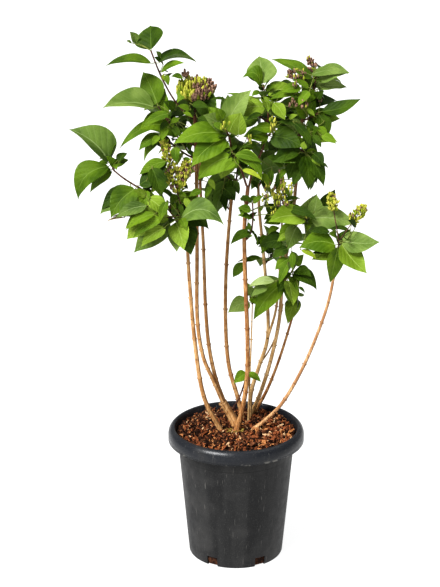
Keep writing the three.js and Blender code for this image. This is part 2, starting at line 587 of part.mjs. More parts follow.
// Adds a leaf to a mass in the first of its swings that is free: its petiole touches nothing but its
// own mass, and its blade touches nothing at all. A leaf with a given tip may cross its own mass.
function addLeaf(mass, node, tip, leaf, given) {
  const swings = SWINGS.map((swing) => ({ swing, own: undefined }));
  if (given) {
    swings.push(...SWINGS.map((swing) => ({ swing, own: mass.name })));
  }
  for (const { swing: [forward, turn], own } of swings) {
    const swung = tip.clone().setY(tip.y - forward);
    const bent = { ...leaf, turn: leaf.turn + turn };
    const corners = leafCorners(node, swung, bent, 0);
    const petiole = trianglesOf(facesOf(corners, PETIOLE_FACES), mass.name);
    const wide = trianglesOf(facesOf(leafCorners(node, swung, bent, LEAF_CLEARANCE), BLADE_FACES));
    const outside = swung.distanceTo(mass.heart) > mass.reach;
    if (!outside && !touches(petiole, mass.name) && !touches(wide, own)) {
      standing.push(petiole, trianglesOf(facesOf(corners, BLADE_FACES), mass.name));
      mass.solids.push(solidOf(facesOf(corners, [...PETIOLE_FACES, ...BLADE_FACES])));
      return;
    }
  }
}

// The tip that the rule gives a leaf: turned about its twig, spread from it and drooping
function ruleTip(twig, at, turn, length) {
  const node = twig.curve.getPoint(at);
  const tangent = twig.curve.getTangent(at);
  const { side, other } = across(tangent, Math.abs(tangent.z) > 0.8 ? new THREE.Vector3(1, 0, 0) : UP);
  const way = tangent.multiplyScalar(Math.cos(SPREAD))
    .addScaledVector(side, Math.sin(SPREAD) * Math.cos(turn))
    .addScaledVector(other, Math.sin(SPREAD) * Math.sin(turn));
  way.z -= DROOP;
  return node.addScaledVector(way.normalize(), length);
}

// Opposite pairs along a twig, each pair at a right angle to the one before
function addPairs(mass, twig, first, pairs, firstTurn, leafLength, tips, random) {
  for (let pair = 0; pair < pairs; pair += 1) {
    const at = pairs === 1 ? 0.99 : THREE.MathUtils.lerp(first, 0.99, pair / (pairs - 1));
    const node = twig.curve.getPoint(at);
    for (let leaf = 0; leaf < 2; leaf += 1) {
      const turn = firstTurn + pair * (Math.PI / 2) + leaf * Math.PI + between(VARY.turn, random());
      const length = leafLength * between(VARY.length, random());
      const widthShare = between(VARY.width, random());
      const roll = between(VARY.roll, random());
      const arch = LEAF.arch * between(VARY.arch, random());
      const given = tips[pair * 2 + leaf];
      if (given) {
        const [, , , handTurn, handArch = LEAF.arch, handWidth = 1] = given;
        addLeaf(mass, node, vec(given), { turn: handTurn, arch: handArch, widthShare: handWidth }, true);
      } else if (given === undefined) {
        addLeaf(mass, node, ruleTip(twig, at, turn, length), { turn: roll, arch, widthShare }, false);
      }
    }
  }
}

// A bud cluster: a slim core with rows of short branchlets that stand out of it
function addPanicle(mass, [x, y, z, width, bare = 0, share = 0.96], random) {
  const from = mass.twig.curve.getPoint(share);
  const top = new THREE.Vector3(x, y, z);
  const tangent = top.clone().sub(from).normalize();
  const { side, other } = across(tangent, Math.abs(tangent.z) > 0.95 ? new THREE.Vector3(1, 0, 0) : UP);
  const wide = width > PANICLE.wide;
  const core = wide ? width * PANICLE.coreShare : PANICLE.axisWidth;
  const parts = [makeSpindle(from.clone().addScaledVector(tangent, -2), top, core, wide ? 5 : 3)];
  const foot = from.clone().lerp(top, bare);
  const rows = THREE.MathUtils.clamp(Math.round(foot.distanceTo(top) / PANICLE.rowStep), ...PANICLE.rows);
  const perRow = wide ? 6 : 3;
  for (let row = 0; row < rows; row += 1) {
    const at = (row + 0.5) / rows;
    const swell = Math.sin(Math.PI * between(PANICLE.swell, at));
    for (let i = 0; i < perRow; i += 1) {
      const turn = row * PANICLE.rowTurn + ((i + PANICLE.jitter * random()) * 2 * Math.PI) / perRow;
      const outward = side.clone().multiplyScalar(Math.cos(turn)).addScaledVector(other, Math.sin(turn));
      const sunk = core * PANICLE.sunk;
      const heart = foot.clone().lerp(top, at * PANICLE.rowsShare).addScaledVector(outward, sunk * swell);
      const spread = (width / 2) * swell;
      const end = heart.clone().addScaledVector(outward, spread - sunk)
        .addScaledVector(tangent, spread * PANICLE.rise);
      parts.push(makeSpindle(heart, end, wide ? PANICLE.branchletWidth : PANICLE.budWidth, 3));
    }
  }
  mass.solids.push(...parts.map(solidOf));
  standing.push(...parts.map((part) => trianglesOf(part, mass.name)));
}

// A spindle between two points
function makeSpindle(from, to, width, sides) {
  const length = from.distanceTo(to);
  const spindle = new THREE.SphereGeometry(1, sides, 2).rotateX(Math.PI / 2)
    .scale(width / 2, width / 2, (length / 2) * PANICLE.overlap);
  const turn = new THREE.Quaternion().setFromUnitVectors(UP, to.clone().sub(from).normalize());
  return spindle.applyQuaternion(turn).translate(...from.clone().add(to).multiplyScalar(0.5).toArray());
}

// A mass of foliage, in three passes over all the masses: stems first, then buds, then leaves
function startMass(row) {
  const limb = limbs.get(row.on);
  const end = vec(row.end);
  const seat = row.at === undefined
    ? { point: limb.tip.clone().addScaledVector(limb.tipWay, GAP), normal: limb.tipWay }
    : flankOf(limb, row.at, end);
  const twig = makeTwig(seat.point, seat.normal, end, [TWIG.radius, TWIG.tipRadius], TWIG.bulge);
  standing.push(trianglesOf(twig.geometry, row.name));
  return {
    ...row, twig, heart: twig.curve.getPoint(0.5), reach: row.tips ? Infinity : MASS_REACH,
    solids: [solidOf(twig.geometry)], random: seeded(row.seed ?? row.name.length),
  };
}

function addBuds(mass) {
  for (const panicle of mass.panicles ?? []) {
    addPanicle(mass, panicle, mass.random);
  }
}

function addFoliage(mass) {
  const tips = mass.tips ?? [];
  const turn = THREE.MathUtils.degToRad(mass.turn ?? 0);
  const first = mass.from ?? TWIG.firstNode;
  const pairs = mass.pairs ?? tips.length / 2;
  addPairs(mass, mass.twig, first, pairs, turn, LEAF.length, tips, mass.random);
  for (let i = 0; i < (mass.sprigs ?? 0); i += 1) {
    const at = SPRIG.first + SPRIG.step * (i + mass.random());
    const start = mass.twig.curve.getPoint(at);
    const way = turn + mass.random() * 2 * Math.PI;
    const end = ruleTip(mass.twig, at, way, between(SPRIG.length, mass.random()));
    end.z += SPRIG.lift;
    const radii = [TWIG.tipRadius, TWIG.tipRadius * SPRIG.tipShare];
    const sprig = makeTwig(start, end.clone().sub(start).normalize(), end, radii, TWIG.bulge);
    const shape = trianglesOf(sprig.geometry, mass.name);
    if (touches(shape, mass.name)) {
      continue;
    }
    standing.push(shape);
    mass.solids.push(solidOf(sprig.geometry));
    addPairs(mass, sprig, TWIG.firstNode, SPRIG.pairs, way, LEAF.length * SPRIG.leafShare, [], mass.random);
  }
}

const lilac = new THREE.Group();

function addPiece(name, geometry, material) {
  const piece = new THREE.Mesh(geometry, material);
  piece.name = name;
  lilac.add(piece);
}

addPiece('pot', potGeometry(), BLACK_PLASTIC);
addPiece('soil', soilGeometry(), BARK_MULCH);

for (const row of LIMBS) {
  const limb = makeLimb(row);
  limbs.set(row.name, limb);
  const geometry = limbGeometry(limb);
  standing.push(trianglesOf(geometry, row.name));
  addPiece(row.name, geometry, STEM_BARK);
}

const masses = MASSES.map(startMass);
masses.forEach(addBuds);
masses.forEach(addFoliage);
for (const mass of masses) {
  addPiece(mass.name, geometryOf(Manifold.union(mass.solids).simplify(SIMPLIFY)), LEAF_GREEN);
}

export default lilac;
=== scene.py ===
# Scene of a common lilac in a black nursery pot. Metres, +Z up, front is -Y.
# Sizes in the tables below are in millimetres.
import math

import bpy
import numpy as np
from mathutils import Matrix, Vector
from mathutils.bvhtree import BVHTree


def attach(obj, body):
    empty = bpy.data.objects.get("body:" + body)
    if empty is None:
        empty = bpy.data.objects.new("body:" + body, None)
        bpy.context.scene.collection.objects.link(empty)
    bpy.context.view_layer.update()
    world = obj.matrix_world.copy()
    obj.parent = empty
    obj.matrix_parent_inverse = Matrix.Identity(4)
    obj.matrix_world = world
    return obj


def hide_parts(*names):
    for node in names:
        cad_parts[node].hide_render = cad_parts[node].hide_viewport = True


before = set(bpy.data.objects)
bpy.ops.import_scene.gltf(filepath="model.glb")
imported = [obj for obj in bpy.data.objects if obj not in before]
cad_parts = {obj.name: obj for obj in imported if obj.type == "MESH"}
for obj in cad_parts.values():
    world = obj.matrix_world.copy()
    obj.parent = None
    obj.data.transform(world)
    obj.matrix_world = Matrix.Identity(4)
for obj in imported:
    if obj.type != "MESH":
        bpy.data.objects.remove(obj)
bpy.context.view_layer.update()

MM = 0.001
GAP = 0.3
POT = dict(height=327, rim=164, drop=34, mouth=147, neck=141, neck_height=296, foot=114.5, wall=2.2, floor=3)
SLOT = dict(count=6, width=27, height=24, depth=16, first_turn=math.pi / 6)
SOIL = dict(top=316, edge=311, level_radius=118)

# Stems and boughs, row by row as in the part's source
LIMBS = [
    dict(name="stump", radii=(9.4, 9.6), flare=3, points=[(2, 22, 316), (-14, 32, 343), (-33, 32, 374)]),
    dict(name="stem_a", radii=(5.7, 3.3), flare=1.6, points=[(-37, -7, 316), (-78, -16, 410),
         (-99, -30, 560), (-110, -42, 711), (-116, -48, 820), (-128, -50, 892)]),
    dict(name="stem_b", on="stump", radii=(4.7, 4.3), points=[(-37, 28, 383), (-57, 28, 436),
         (-81, 30, 499), (-93, 30, 594), (-93, 26, 762), (-93, 22, 933), (-96, 18, 1086)]),
    dict(name="stem_c", on="stump", radii=(5.3, 3.1), points=[(-31, 37.5, 377), (-49, 44, 429),
         (-66, 56, 513), (-74, 68, 611), (-78, 80, 745), (-85, 88, 891), (-86, 92, 987)]),
    dict(name="stem_d", radii=(5.4, 3.7), flare=1, points=[(17, 62, 316), (3, 66, 376), (-17, 76, 450),
         (-25, 88, 539), (-25, 98, 664), (-18, 104, 792), (-8, 106, 901)]),
    dict(name="stem_e", radii=(5.8, 4.4), flare=2.4, points=[(1, -10, 316), (15, -9, 376),
         (25, -14, 450), (26, -22, 555), (20, -31, 707), (17, -37, 835), (25, -40, 936)]),
    dict(name="bough_e_left", on="stem_e", radii=(2.6, 2.1), points=[(22.4, -41, 945), (8, -42, 978),
         (-11, -40, 1014), (-17, -37, 1046)]),
    dict(name="bough_e_right", on="stem_e", radii=(2.5, 1.9), points=[(28, -39, 945), (36, -34, 972),
         (55, -27, 1013), (66, -20, 1053), (70, -15, 1094)]),
    dict(name="stem_f", radii=(2.4, 1.4), flare=0.8, points=[(31, 50, 316), (32, 28, 420), (36, 36, 533),
         (38, 42, 622)]),
    dict(name="stem_g", radii=(5.2, 3.2), flare=1.2, points=[(34, 72, 316), (37, 62, 388), (56, 64, 455),
         (75, 66, 522), (75, 68, 611), (64, 72, 743), (54, 75, 841), (50, 76, 923)]),
    dict(name="bough_g", on="stem_g", side=True, radii=(3.1, 2.2), points=[(76, 66, 528), (94, 50, 602),
         (101, 42, 683), (105, 38, 771), (106, 36, 828)]),
    dict(name="bough_g_low", on="stem_g", side=True, radii=(1.9, 1.4), points=[(65, 62, 464),
         (79, 76, 489), (94, 88, 519), (107, 92, 569), (113, 92, 605)]),
    dict(name="stem_h", radii=(4.9, 3.5), flare=1.2, points=[(37, 90, 316), (59, 84, 374), (84, 78, 463),
         (103, 62, 574), (111, 40, 703), (129, 16, 834), (136, 4, 929), (144, -4, 1058),
         (170, -8, 1145)]),
    dict(name="stem_j", radii=(4.2, 2.5), flare=1, points=[(46, 104, 316), (77, 106, 376),
         (107, 112, 457), (133, 118, 546), (148, 120, 608)]),
    dict(name="stem_k", radii=(4.8, 3.2), flare=2.6, points=[(43, -1, 316), (66, -1, 337),
         (108, -8, 385), (150, -18, 466), (188, -28, 566), (216, -38, 665), (233, -46, 785)]),
    dict(name="bough_far_left", on="stem_a", side=True, radii=(2.5, 1.7), points=[(-126, -50, 880),
         (-171, -62, 901), (-211, -68, 932), (-254, -70, 961), (-277, -70, 980)]),
]

# Masses of the front and sides: each tip is a leaf's x, y and z, and its turn in degrees, arch, breadth
# and fold where the rule doesn't give them. A panicle is its top, width, bare share and where it starts.
# Each mass's tints give one letter a leaf from the leaf tint table; b, p, d, k, g, h and y are the green with
# painted light, painted shade, painted sheen and painted glow
MASSES = [
    dict(name="panicle_main", on="stem_b", end=(-93, 14, 1161), tints="ddmd", tips=[(-154, 60, 1069, -4),
         (-64, -12, 1123, 4), (-136, -20, 1125, 8), (-53, -14, 1068, 16)],
         panicles=[(-93, 12, 1177, 106, 0, 0.35)]),
    dict(name="foliage_top_left", on="stem_b", at=1079, end=(-194, 2, 1239), first=0.7, tints="m.m.kdd.",
         tips=[(-145, 12, 1187, 0, 0.1, 0.7), None, (-117, -30, 1218, 0, 0.1, 0.5), None,
         (-297, -10, 1207, -5, 0.1, 0.6, 0.45), (-91, 20, 1210, -15, 0.13, 1.05, 0.6),
         (-197, 58, 1286, 0, 0.04, 1.55), None]),
    dict(name="foliage_upper_left", on="stem_b", at=1017, end=(-179, -8, 1115), first=0.62,
         tints="mdmmgk", tips=[(-220, -60, 1074, 25, 0.1, 1.3, 0.2), (-127, 50, 1064, 4),
         (-268, -26, 1020, 10, 0.1, 0.55), (-164, 18, 1151, 15), (-303, -35, 1117, 0, 0.1, 1.15, 0.6),
         (-215, 50, 1181, 10, 0.08, 1.2)]),
    dict(name="foliage_left_inner", on="stem_b", at=986, end=(-171, -2, 1049), tints="b.d.mm",
         tips=[(-137, -12, 976, 10, 0.1), None, (-193, 24, 1019, 25), None,
         (-224, -22, 1014, 10, 0.12, 0.8), (-213, -4, 983, 0, 0.15, 0.6)]),
    dict(name="panicles_left", on="stem_a", end=(-135, -50, 920), tints="mm", tips=[(-114, -60, 916, 20),
         (-153, -46, 895, 4)], panicles=[(-168, -44, 1043, 38), (-115, -52, 998, 29, 0.2)]),
    dict(name="foliage_far_left", on="bough_far_left", end=(-283, -72, 1001), tints="mmkh",
         tips=[(-335, -52, 923, 5, 0.1, 0.7), (-245, -44, 999, 0, 0.1), (-359, -88, 917, 10, 0.26, 1.1),
         (-377, -66, 1075, -30, 0.12, 1.5, 0.6)]),
    dict(name="foliage_left_low", on="bough_far_left", at=929, end=(-226, -92, 951), tints="dhdk",
         tips=[(-156, -70, 1003, 15, 0.12), (-310, -92, 885, 15, 0.14), (-165, -90, 974, 0, 0.1),
         (-284, -122, 885, 20, 0.12)]),
    dict(name="foliage_left_bright", on="stem_a", at=870, end=(-184, -78, 869), tints="gbbb",
         tips=[(-234, -114, 801, 12, 0, 1.1), (-264, -112, 887, 15, 0.1), (-251, -70, 822, 15, 0.12),
         (-254, -92, 850, 5, 0.2)]),
    dict(name="foliage_arching", on="stem_a", at=853, end=(-141, -76, 869), tints="ddgdbh",
         tips=[(-105, -84, 785, 10, 0.1), (-94, -40, 805, 25, 0.1), (-137, -104, 799, 10, 0.1),
         (-64, -60, 838, 15, 0.3), (-120, -124, 810, 10, 0.1), (-30, -108, 864, 10, 0.3)]),
    dict(name="foliage_centre_left", on="bough_e_left", end=(-28, -33, 1070), tints="mbmmgg",
         tips=[(-104, -84, 993, 15, 0.1), (8, -58, 1111, 10, 0.1), (-144, -72, 1043, 5, 0.1),
         (-68, 4, 1117, 5, 0.1), (-77, -20, 1106, 10, 0.05), (31, -30, 1157, 10, 0.1)]),
    dict(name="foliage_centre_low", on="bough_e_left", at=1007, end=(-12, -66, 1023), tints="bmmbdm",
         tips=[(-37, -40, 953, 20), (7, 10, 1024, 12), (-89, -66, 958, 20),
         (53, -78, 1001, 10, 0.1, 0.7), (-34, -10, 990, 29), (56, -84, 963, 8, 0.24, 0.5)]),
    dict(name="foliage_top_centre", on="bough_e_right", end=(58, -12, 1162), tints="gbmbbdmg",
         tips=[(105, -44, 1089, 10, 0.1), (-14, -52, 1098, 5, 0.1), (118, 34, 1140, 10, 0.1, 0.9),
         (68, -66, 1115, 10, 0.1), (136, 12, 1145, -5, 0.1), (91, 30, 1134, 10, 0.1, 0.9),
         (9, -6, 1177, 0, 0.5, 1.3), (50, 48, 1218, 8, 0.05, 1.35)]),
    dict(name="foliage_centre_right", on="bough_e_right", at=1046, end=(83, -30, 1069), tints="mdmd",
         tips=[(13, -48, 1053, 12, 0.1), (148, -58, 1030, 25, 0.1), (33, -20, 1067, -4, 0.1),
         (139, 8, 1069, -12, 0.1)]),
    dict(name="foliage_d_top", on="stem_d", end=(-25, 96, 923), tints="ddddmd", tips=[(6, 84, 880, 4),
         (-25, 86, 847, 12), (-25, 70, 872, 10), (-48, 64, 839, 10), (-63, 104, 832, 10),
         (-72, 60, 884, 20)]),
    dict(name="foliage_e_sprig", on="stem_e", at=807, end=(35, -52, 900), tints="ddmddm",
         tips=[(-15, -54, 805, 0, 0.1, 0.6), (41, -50, 820, 10, 0.1, 0.6), (0, -46, 872, 0, 0.1, 0.6),
         (41, -60, 857, 5, 0.1, 0.5), (11, -50, 918, 0, 0.1, 0.6), (61, -48, 915, 5, 0.1, 0.7)]),
    dict(name="foliage_e_low", on="stem_e", at=742, end=(19, -22, 751), tints="dd",
         tips=[(-9, -30, 709, 12, 0.05, 0.75), (59, -12, 755, 0, 0.1, 0.6)]),
    dict(name="foliage_g_top", on="stem_g", end=(59, 66, 958), first=0.12, tints="ddddmd",
         tips=[(56, 92, 855, 5, 0.1, 0.8), (82, 44, 881, 5, 0.1, 0.8), (34, 60, 899, 0, 0.1, 0.9),
         (120, 20, 963, 10, 0.1), (31, 60, 990, 10, 0.1, 0.9), (91, 56, 996, 10, 0.1, 0.9)]),
    dict(name="foliage_g_low", on="stem_g", at=765, end=(72, 52, 794), tints="ddmm",
         tips=[(45, 30, 776, 10, 0.1), (98, 40, 753, 10, 0.1), (60, 24, 753, 10, 0.1),
         (102, 44, 811, 25, 0.1)]),
    dict(name="panicle_centre", on="bough_g", end=(103, 30, 844), first=0.3, tints="mbmm",
         tips=[(63, 0, 834, 5, 0.1, 0.8), (143, 20, 833, 5, 0.1, 0.7), (61, 14, 876, 0, 0.1, 0.7),
         (140, 14, 880, 0, 0.1, 0.6)], panicles=[(98, 28, 937, 47)]),
    dict(name="foliage_right_low", on="bough_g", at=673, end=(137, 6, 729), tints="gmmbmmddmm",
         tips=[(25, 6, 677, 0, 0.07, 0.52, 0.15), (124, 0, 640, 10, 0.1), (40, -14, 602, 10, 0.12, 0.85),
         (132, -26, 641, 10, 0.1), (93, 20, 730, 10, 0.1), (141, -24, 678, 10, 0.1),
         (175, -14, 709, 5, 0.2), (188, -10, 675, 5, 0.18), (126, -8, 771, 10, 0.1),
         (158, 10, 753, 15, 0.1)]),
    dict(name="foliage_j_top", on="stem_j", end=(147, 112, 628), tints="dbdm",
         tips=[(164, 100, 630, 0, 0.1, 0.8), (124, 70, 561, 10, 0.1, 0.8), (147, 96, 593, 10, 0.1, 0.8),
         (115, 84, 602, 10, 0.1, 0.8)]),
    dict(name="foliage_f_top", on="stem_f", end=(32, 38, 641), tints="gggm",
         tips=[(-20, 14, 610, 15, 0.14), (61, 36, 665, 15, 0.1), (23, 40, 678, 10, 0.1),
         (51, 24, 624, 10, 0.1)]),
    dict(name="foliage_foot", on="stump", at=350, end=(26, 20, 458), tints="mm",
         tips=[(-6, -4, 437, 8, 0.06, 1.05, 0.25), (60, 2, 438, -8, 0.04, 0.75, 0.3)]),
    dict(name="foliage_top_right", on="stem_h", end=(177, -10, 1180), tints="mgdmgm",
         tips=[(142, -50, 1125, 10, 0.1), (251, 14, 1153, -22, 0.06, 0.9), (197, 10, 1116, 10, 0.1),
         (124, 14, 1172, 5, 0.1), (252, -28, 1195, 5, 0.14), (75, -16, 1224, -17, 0.06)],
         panicles=[(159, -20, 1227, 16, 0.25), (115, -30, 1191, 32, 0.3)]),
    dict(name="foliage_upper_right", on="stem_h", at=1084, end=(182, -28, 1104), tints="mmdd",
         tips=[(234, -4, 1084, 5, 0.06), (118, -30, 1138, 10, 0.1), (277, -42, 1140, 0, -0.07, 0.65),
         (205, -44, 1054, 10, 0.1)]),
    dict(name="foliage_right_side", on="stem_h", at=1063, end=(162, -36, 1052), tints="bgdd",
         tips=[(227, -54, 1041, -4, -0.04), (106, -30, 1079, 15, 0.1), (150, -62, 1022, 10, 0.1),
         (185, -60, 1077, 15, 0.1)]),
    dict(name="foliage_right_hanging", on="stem_h", at=1015, end=(156, -36, 1013), tints="ddmddd",
         tips=[(116, -34, 949, 10, 0.1), (106, -30, 1000, 25, 0.1), (192, -30, 1000, 10, 0.1, 0.8),
         (79, -34, 996, 15, 0.1), (197, -40, 939, 10, 0.1, 0.75), (162, -72, 932, 10, 0.08)]),
    dict(name="foliage_right_mid", on="stem_h", at=829, end=(165, -22, 857), tints="gmdggb",
         tips=[(117, -40, 783, 10, 0.1), (98, -12, 794, 10, 0.1), (105, -34, 882, 5, 0.1),
         (183, -24, 913, 10, 0.04, 0.95), (275, -54, 844, 10, 0.06), (71, -50, 861, 0, 0.1)]),
    dict(name="foliage_k_top", on="stem_k", end=(234, -52, 809), tints="bdmmbg",
         tips=[(173, -48, 762, 15, 0.05, 1.1), (260, -34, 832, 5, 0.1), (142, -70, 798, 15, 0.14),
         (214, -76, 715, 10, 0.1), (297, -92, 744, 10, -0.06, 1.1), (327, -66, 811, 8, -0.05)],
         panicles=[(215, -30, 915, 25, 0.6), (290, -44, 890, 32, 0.45)]),
]

# Masses of the back: name, limb, height on it or None for its end, end, pairs, sprigs, turn and seed
BACK_MASSES = [
    ("back_c_top", "stem_c", None, (-79, 130, 1040), 3, 1, 20, 3),
    ("back_c_side", "stem_c", 934, (-53, 176, 965), 3, 1, 60, 5),
    ("back_upper_left", "stem_c", 963, (-161, 130, 1054), 3, 1, 10, 8),
    ("back_left", "stem_a", 839, (-183, 20, 896), 3, 1, 40, 9),
    ("back_d_side", "stem_d", 886, (4, 176, 946), 3, 1, 0, 12),
    ("back_d_low", "stem_d", 837, (-53, 150, 868), 2, 1, 80, 14),
    ("back_e_top", "bough_e_right", 1082, (30, 70, 1092), 3, 0, 30, 17),
    ("back_g_top", "stem_g", 904, (80, 150, 972), 3, 1, 50, 19),
    ("back_h_top", "stem_h", 1091, (152, 70, 1130), 3, 1, 15, 22),
    ("back_h_upper", "stem_h", 1039, (130, 110, 1040), 3, 1, 70, 24),
    ("back_h_mid", "stem_h", 972, (163, 96, 962), 3, 1, 100, 28),
    ("back_h_low", "stem_h", 846, (194, 96, 805), 3, 1, 5, 29),
    ("back_g_low", "stem_g", 713, (101, 146, 739), 3, 0, 25, 31),
]
BACK_FIELDS = ("name", "on", "at", "end", "pairs", "sprigs", "turn", "seed")
MASSES += [dict(zip(BACK_FIELDS, row)) for row in BACK_MASSES]
# The back's leaves take the mid green m and its darker copy d, which is painted shade
BACK_TINTS = "mddmd"

# The sizes and limits of the source's rule
LIMB_SIDES = 6
FLARE_LENGTH = 34
RING_STEP = 62
FEWEST_STEPS = 3
CURVE_SAMPLES = 200
NEARBY = 1e-3
TWIG = dict(radius=1.9, tip=1.2, sides=3, steps=3, first=0.42, last=0.99, bulge=0.18,
            least_bend=0.02, steep=0.7)
PETIOLE = dict(share=0.11, radius=0.9)
LEAF = dict(length=84, width=0.7, widest=56, thickness=0.018, fold=0.14, arch=0.12,
            shoulder_at=0.16, shoulder=0.94, waist_at=0.54, waist=0.84, ridge_at=0.42)
PETIOLE_FACES = [[0, 1, 2], [0, 4, 1], [0, 3, 4], [1, 5, 2], [1, 4, 5], [2, 3, 0], [2, 5, 3]]
BLADE_FACES = [[3, 11, 4], [3, 7, 11], [4, 11, 9], [7, 8, 11], [9, 11, 10], [8, 6, 11], [10, 11, 6],
               [3, 12, 7], [3, 5, 12], [5, 4, 12], [4, 9, 12], [7, 12, 8], [9, 10, 12], [8, 12, 6],
               [10, 6, 12]]
# The tip and the four points of the edge among a blade's corners
BLADE_EDGE = slice(6, 11)
SPRIG = dict(first=0.25, step=0.3, length=(50, 74), lift=31, leaf_share=0.66, pairs=2, tip_share=0.8)
VARY = dict(turn=(-0.25, 0.25), length=(0.78, 1.18), width=(0.9, 1.1), roll=(-37, 13), arch=(0.6, 1.5))
CROWN = dict(middle=60, flatness=0.25, edge_on=0.35)
SPREAD = math.radians(58)
DROOP = 0.3
LEAF_CLEARANCE = 0.6
# How far forward in mm a leaf swings, and by how many degrees it turns, to find its place
SWINGS = [(0, 0), (12, 0), (-12, 0), (0, 16), (0, -16), (24, 0), (-24, 0), (24, -16), (-24, 16), (36, 0),
          (-36, 0)]
MASS_REACH = 165
PANICLE = dict(wide=60, core_share=0.45, axis=5, bud=9, branchlet=13, sunk=0.22, row_step=20, rows=(2, 4),
               rows_share=0.85, row_turn=1.1, jitter=0.4, swell=(0.28, 0.9), rise=0.6, overlap=1.1, root=2)
# Bare share of a panicle and where it starts on its twig, if its row leaves them out
PANICLE_DEFAULTS = (0, 0.96)
UPRIGHT_PANICLE = 0.95
MOST_SHAPES = 8000
GENERATOR = dict(multiplier=16807, modulus=2147483647, seed_step=7919, seed_shift=17)

X_AXIS = Vector((1, 0, 0))
Y_AXIS = Vector((0, 1, 0))
UP = Vector((0, 0, 1))
FULL_TURN = 2 * math.pi
STEEP = 0.8


def seeded(seed):
    """A generator of shares from 0 to 1, as in the part's source."""
    state = seed * GENERATOR["seed_step"] + GENERATOR["seed_shift"]

    def draw():
        nonlocal state
        state = state * GENERATOR["multiplier"] % GENERATOR["modulus"]
        return state / GENERATOR["modulus"]

    return draw


def mix(a, b, share):
    return a + (b - a) * share


def across(tangent, reference):
    side = reference.cross(tangent).normalized()
    return side, side.cross(tangent)


def across_upright(way, steep=STEEP):
    return across(way, X_AXIS if abs(way.z) > steep else UP)


def across_level(way):
    return across(way, X_AXIS if abs(way.x) < STEEP else UP)


def around(side, other, turn):
    return side * math.cos(turn) + other * math.sin(turn)


def bow(start, control, end, u):
    return start * (1 - u) ** 2 + control * (2 * u * (1 - u)) + end * u ** 2


def bow_way(start, control, end, u):
    return (control - start) * (1 - u) + (end - control) * u


def ring_points(centre, side, other, radius, sides):
    angles = [FULL_TURN * i / sides for i in range(sides)]
    return [centre + side * (radius * math.sin(a)) + other * (radius * math.cos(a)) for a in angles]


def band(rings, sides):
    """The quads round a tube of rings."""
    faces = []
    for low in range(0, (rings - 1) * sides, sides):
        for i in range(sides):
            j = (i + 1) % sides
            faces.append((low + i, low + j, low + sides + j, low + sides + i))
    return faces


def closed_band(rings, sides):
    last = (rings - 1) * sides
    return [*band(rings, sides), tuple(reversed(range(sides))), tuple(range(last, last + sides))]


class Batch:
    """A mesh that gathers many small things: points, faces, texture places and material slots."""

    def __init__(self):
        self.points = []
        self.faces = []
        self.places = []
        self.slots = []
        self.count = 0

    def add(self, points, faces, places=None, slot=0):
        points = np.asarray(points, dtype=float)
        self.points.append(points)
        self.faces.extend([tuple(i + self.count for i in face) for face in faces])
        self.places.append(np.zeros((len(points), 2)) if places is None else np.asarray(places, dtype=float))
        self.slots.extend([slot] * len(faces))
        self.count += len(points)

    def build(self, name, materials, smooth=True):
        mesh = bpy.data.meshes.new(name)
        points = np.concatenate(self.points) * MM
        mesh.from_pydata(points.tolist(), [], self.faces)
        mesh.polygons.foreach_set("material_index", np.array(self.slots, dtype=np.int32))
        mesh.polygons.foreach_set("use_smooth", np.full(len(self.faces), smooth))
        layer = mesh.uv_layers.new(name="place")
        corners = np.empty(len(mesh.loops), dtype=np.int32)
        mesh.loops.foreach_get("vertex_index", corners)
        layer.data.foreach_set("uv", np.concatenate(self.places)[corners].astype(np.float32).ravel())
        for material in materials:
            mesh.materials.append(material)
        mesh.update()
        piece = bpy.data.objects.new(name, mesh)
        bpy.context.scene.collection.objects.link(piece)
        return piece


# Length of tube along which a texture place counts to one
PLACE_LENGTH = 100


def tube(batch, rings, sides, slot=0):
    """A tube through rings of (centre, side, other, radius), with its ends closed."""
    points = []
    places = []
    along = 0.0
    for k, (centre, side, other, radius) in enumerate(rings):
        if k:
            along += (centre - rings[k - 1][0]).length
        points += ring_points(centre, side, other, radius, sides)
        places += [(i / sides, along / PLACE_LENGTH) for i in range(sides)]
    batch.add(points, closed_band(len(rings), sides), places, slot)


# Where the rings of a bud lie along it, and their shares of its width
BUD_OUTLINE = ((0.0, 0.35), (0.3, 1.0), (0.7, 0.8), (1.0, 0.12))
LONG_BUD_OUTLINE = ((0.0, 0.5), (0.2, 0.85), (0.55, 1.0), (0.82, 0.85), (0.95, 0.5), (1.0, 0.15))


def spindle(batch, start, end, width, sides=5, slot=0, outline=BUD_OUTLINE):
    """A closed body drawn out between two points: a bud or a fine stalk."""
    side, other = across_level((end - start).normalized())
    rings = [(start.lerp(end, at), side, other, width / 2 * share) for at, share in outline]
    tube(batch, rings, sides, slot)


def smooth_curve(points):
    """The source's curve through its points, as a function of the share along it."""
    reach = [points[0] * 2 - points[1], *points, points[-1] * 2 - points[-2]]
    spans = len(points) - 1

    def at(u):
        x = min(max(u, 0.0), 1.0) * spans
        i = min(int(x), spans - 1)
        t = x - i
        p0, p1, p2, p3 = reach[i:i + 4]
        return 0.5 * (2 * p1 + (p2 - p0) * t + (2 * p0 - 5 * p1 + 4 * p2 - p3) * t ** 2
                      + (3 * p1 - p0 - 3 * p2 + p3) * t ** 3)

    return at


def way_of(curve, u):
    return (curve(min(u + NEARBY, 1.0)) - curve(max(u - NEARBY, 0.0))).normalized()


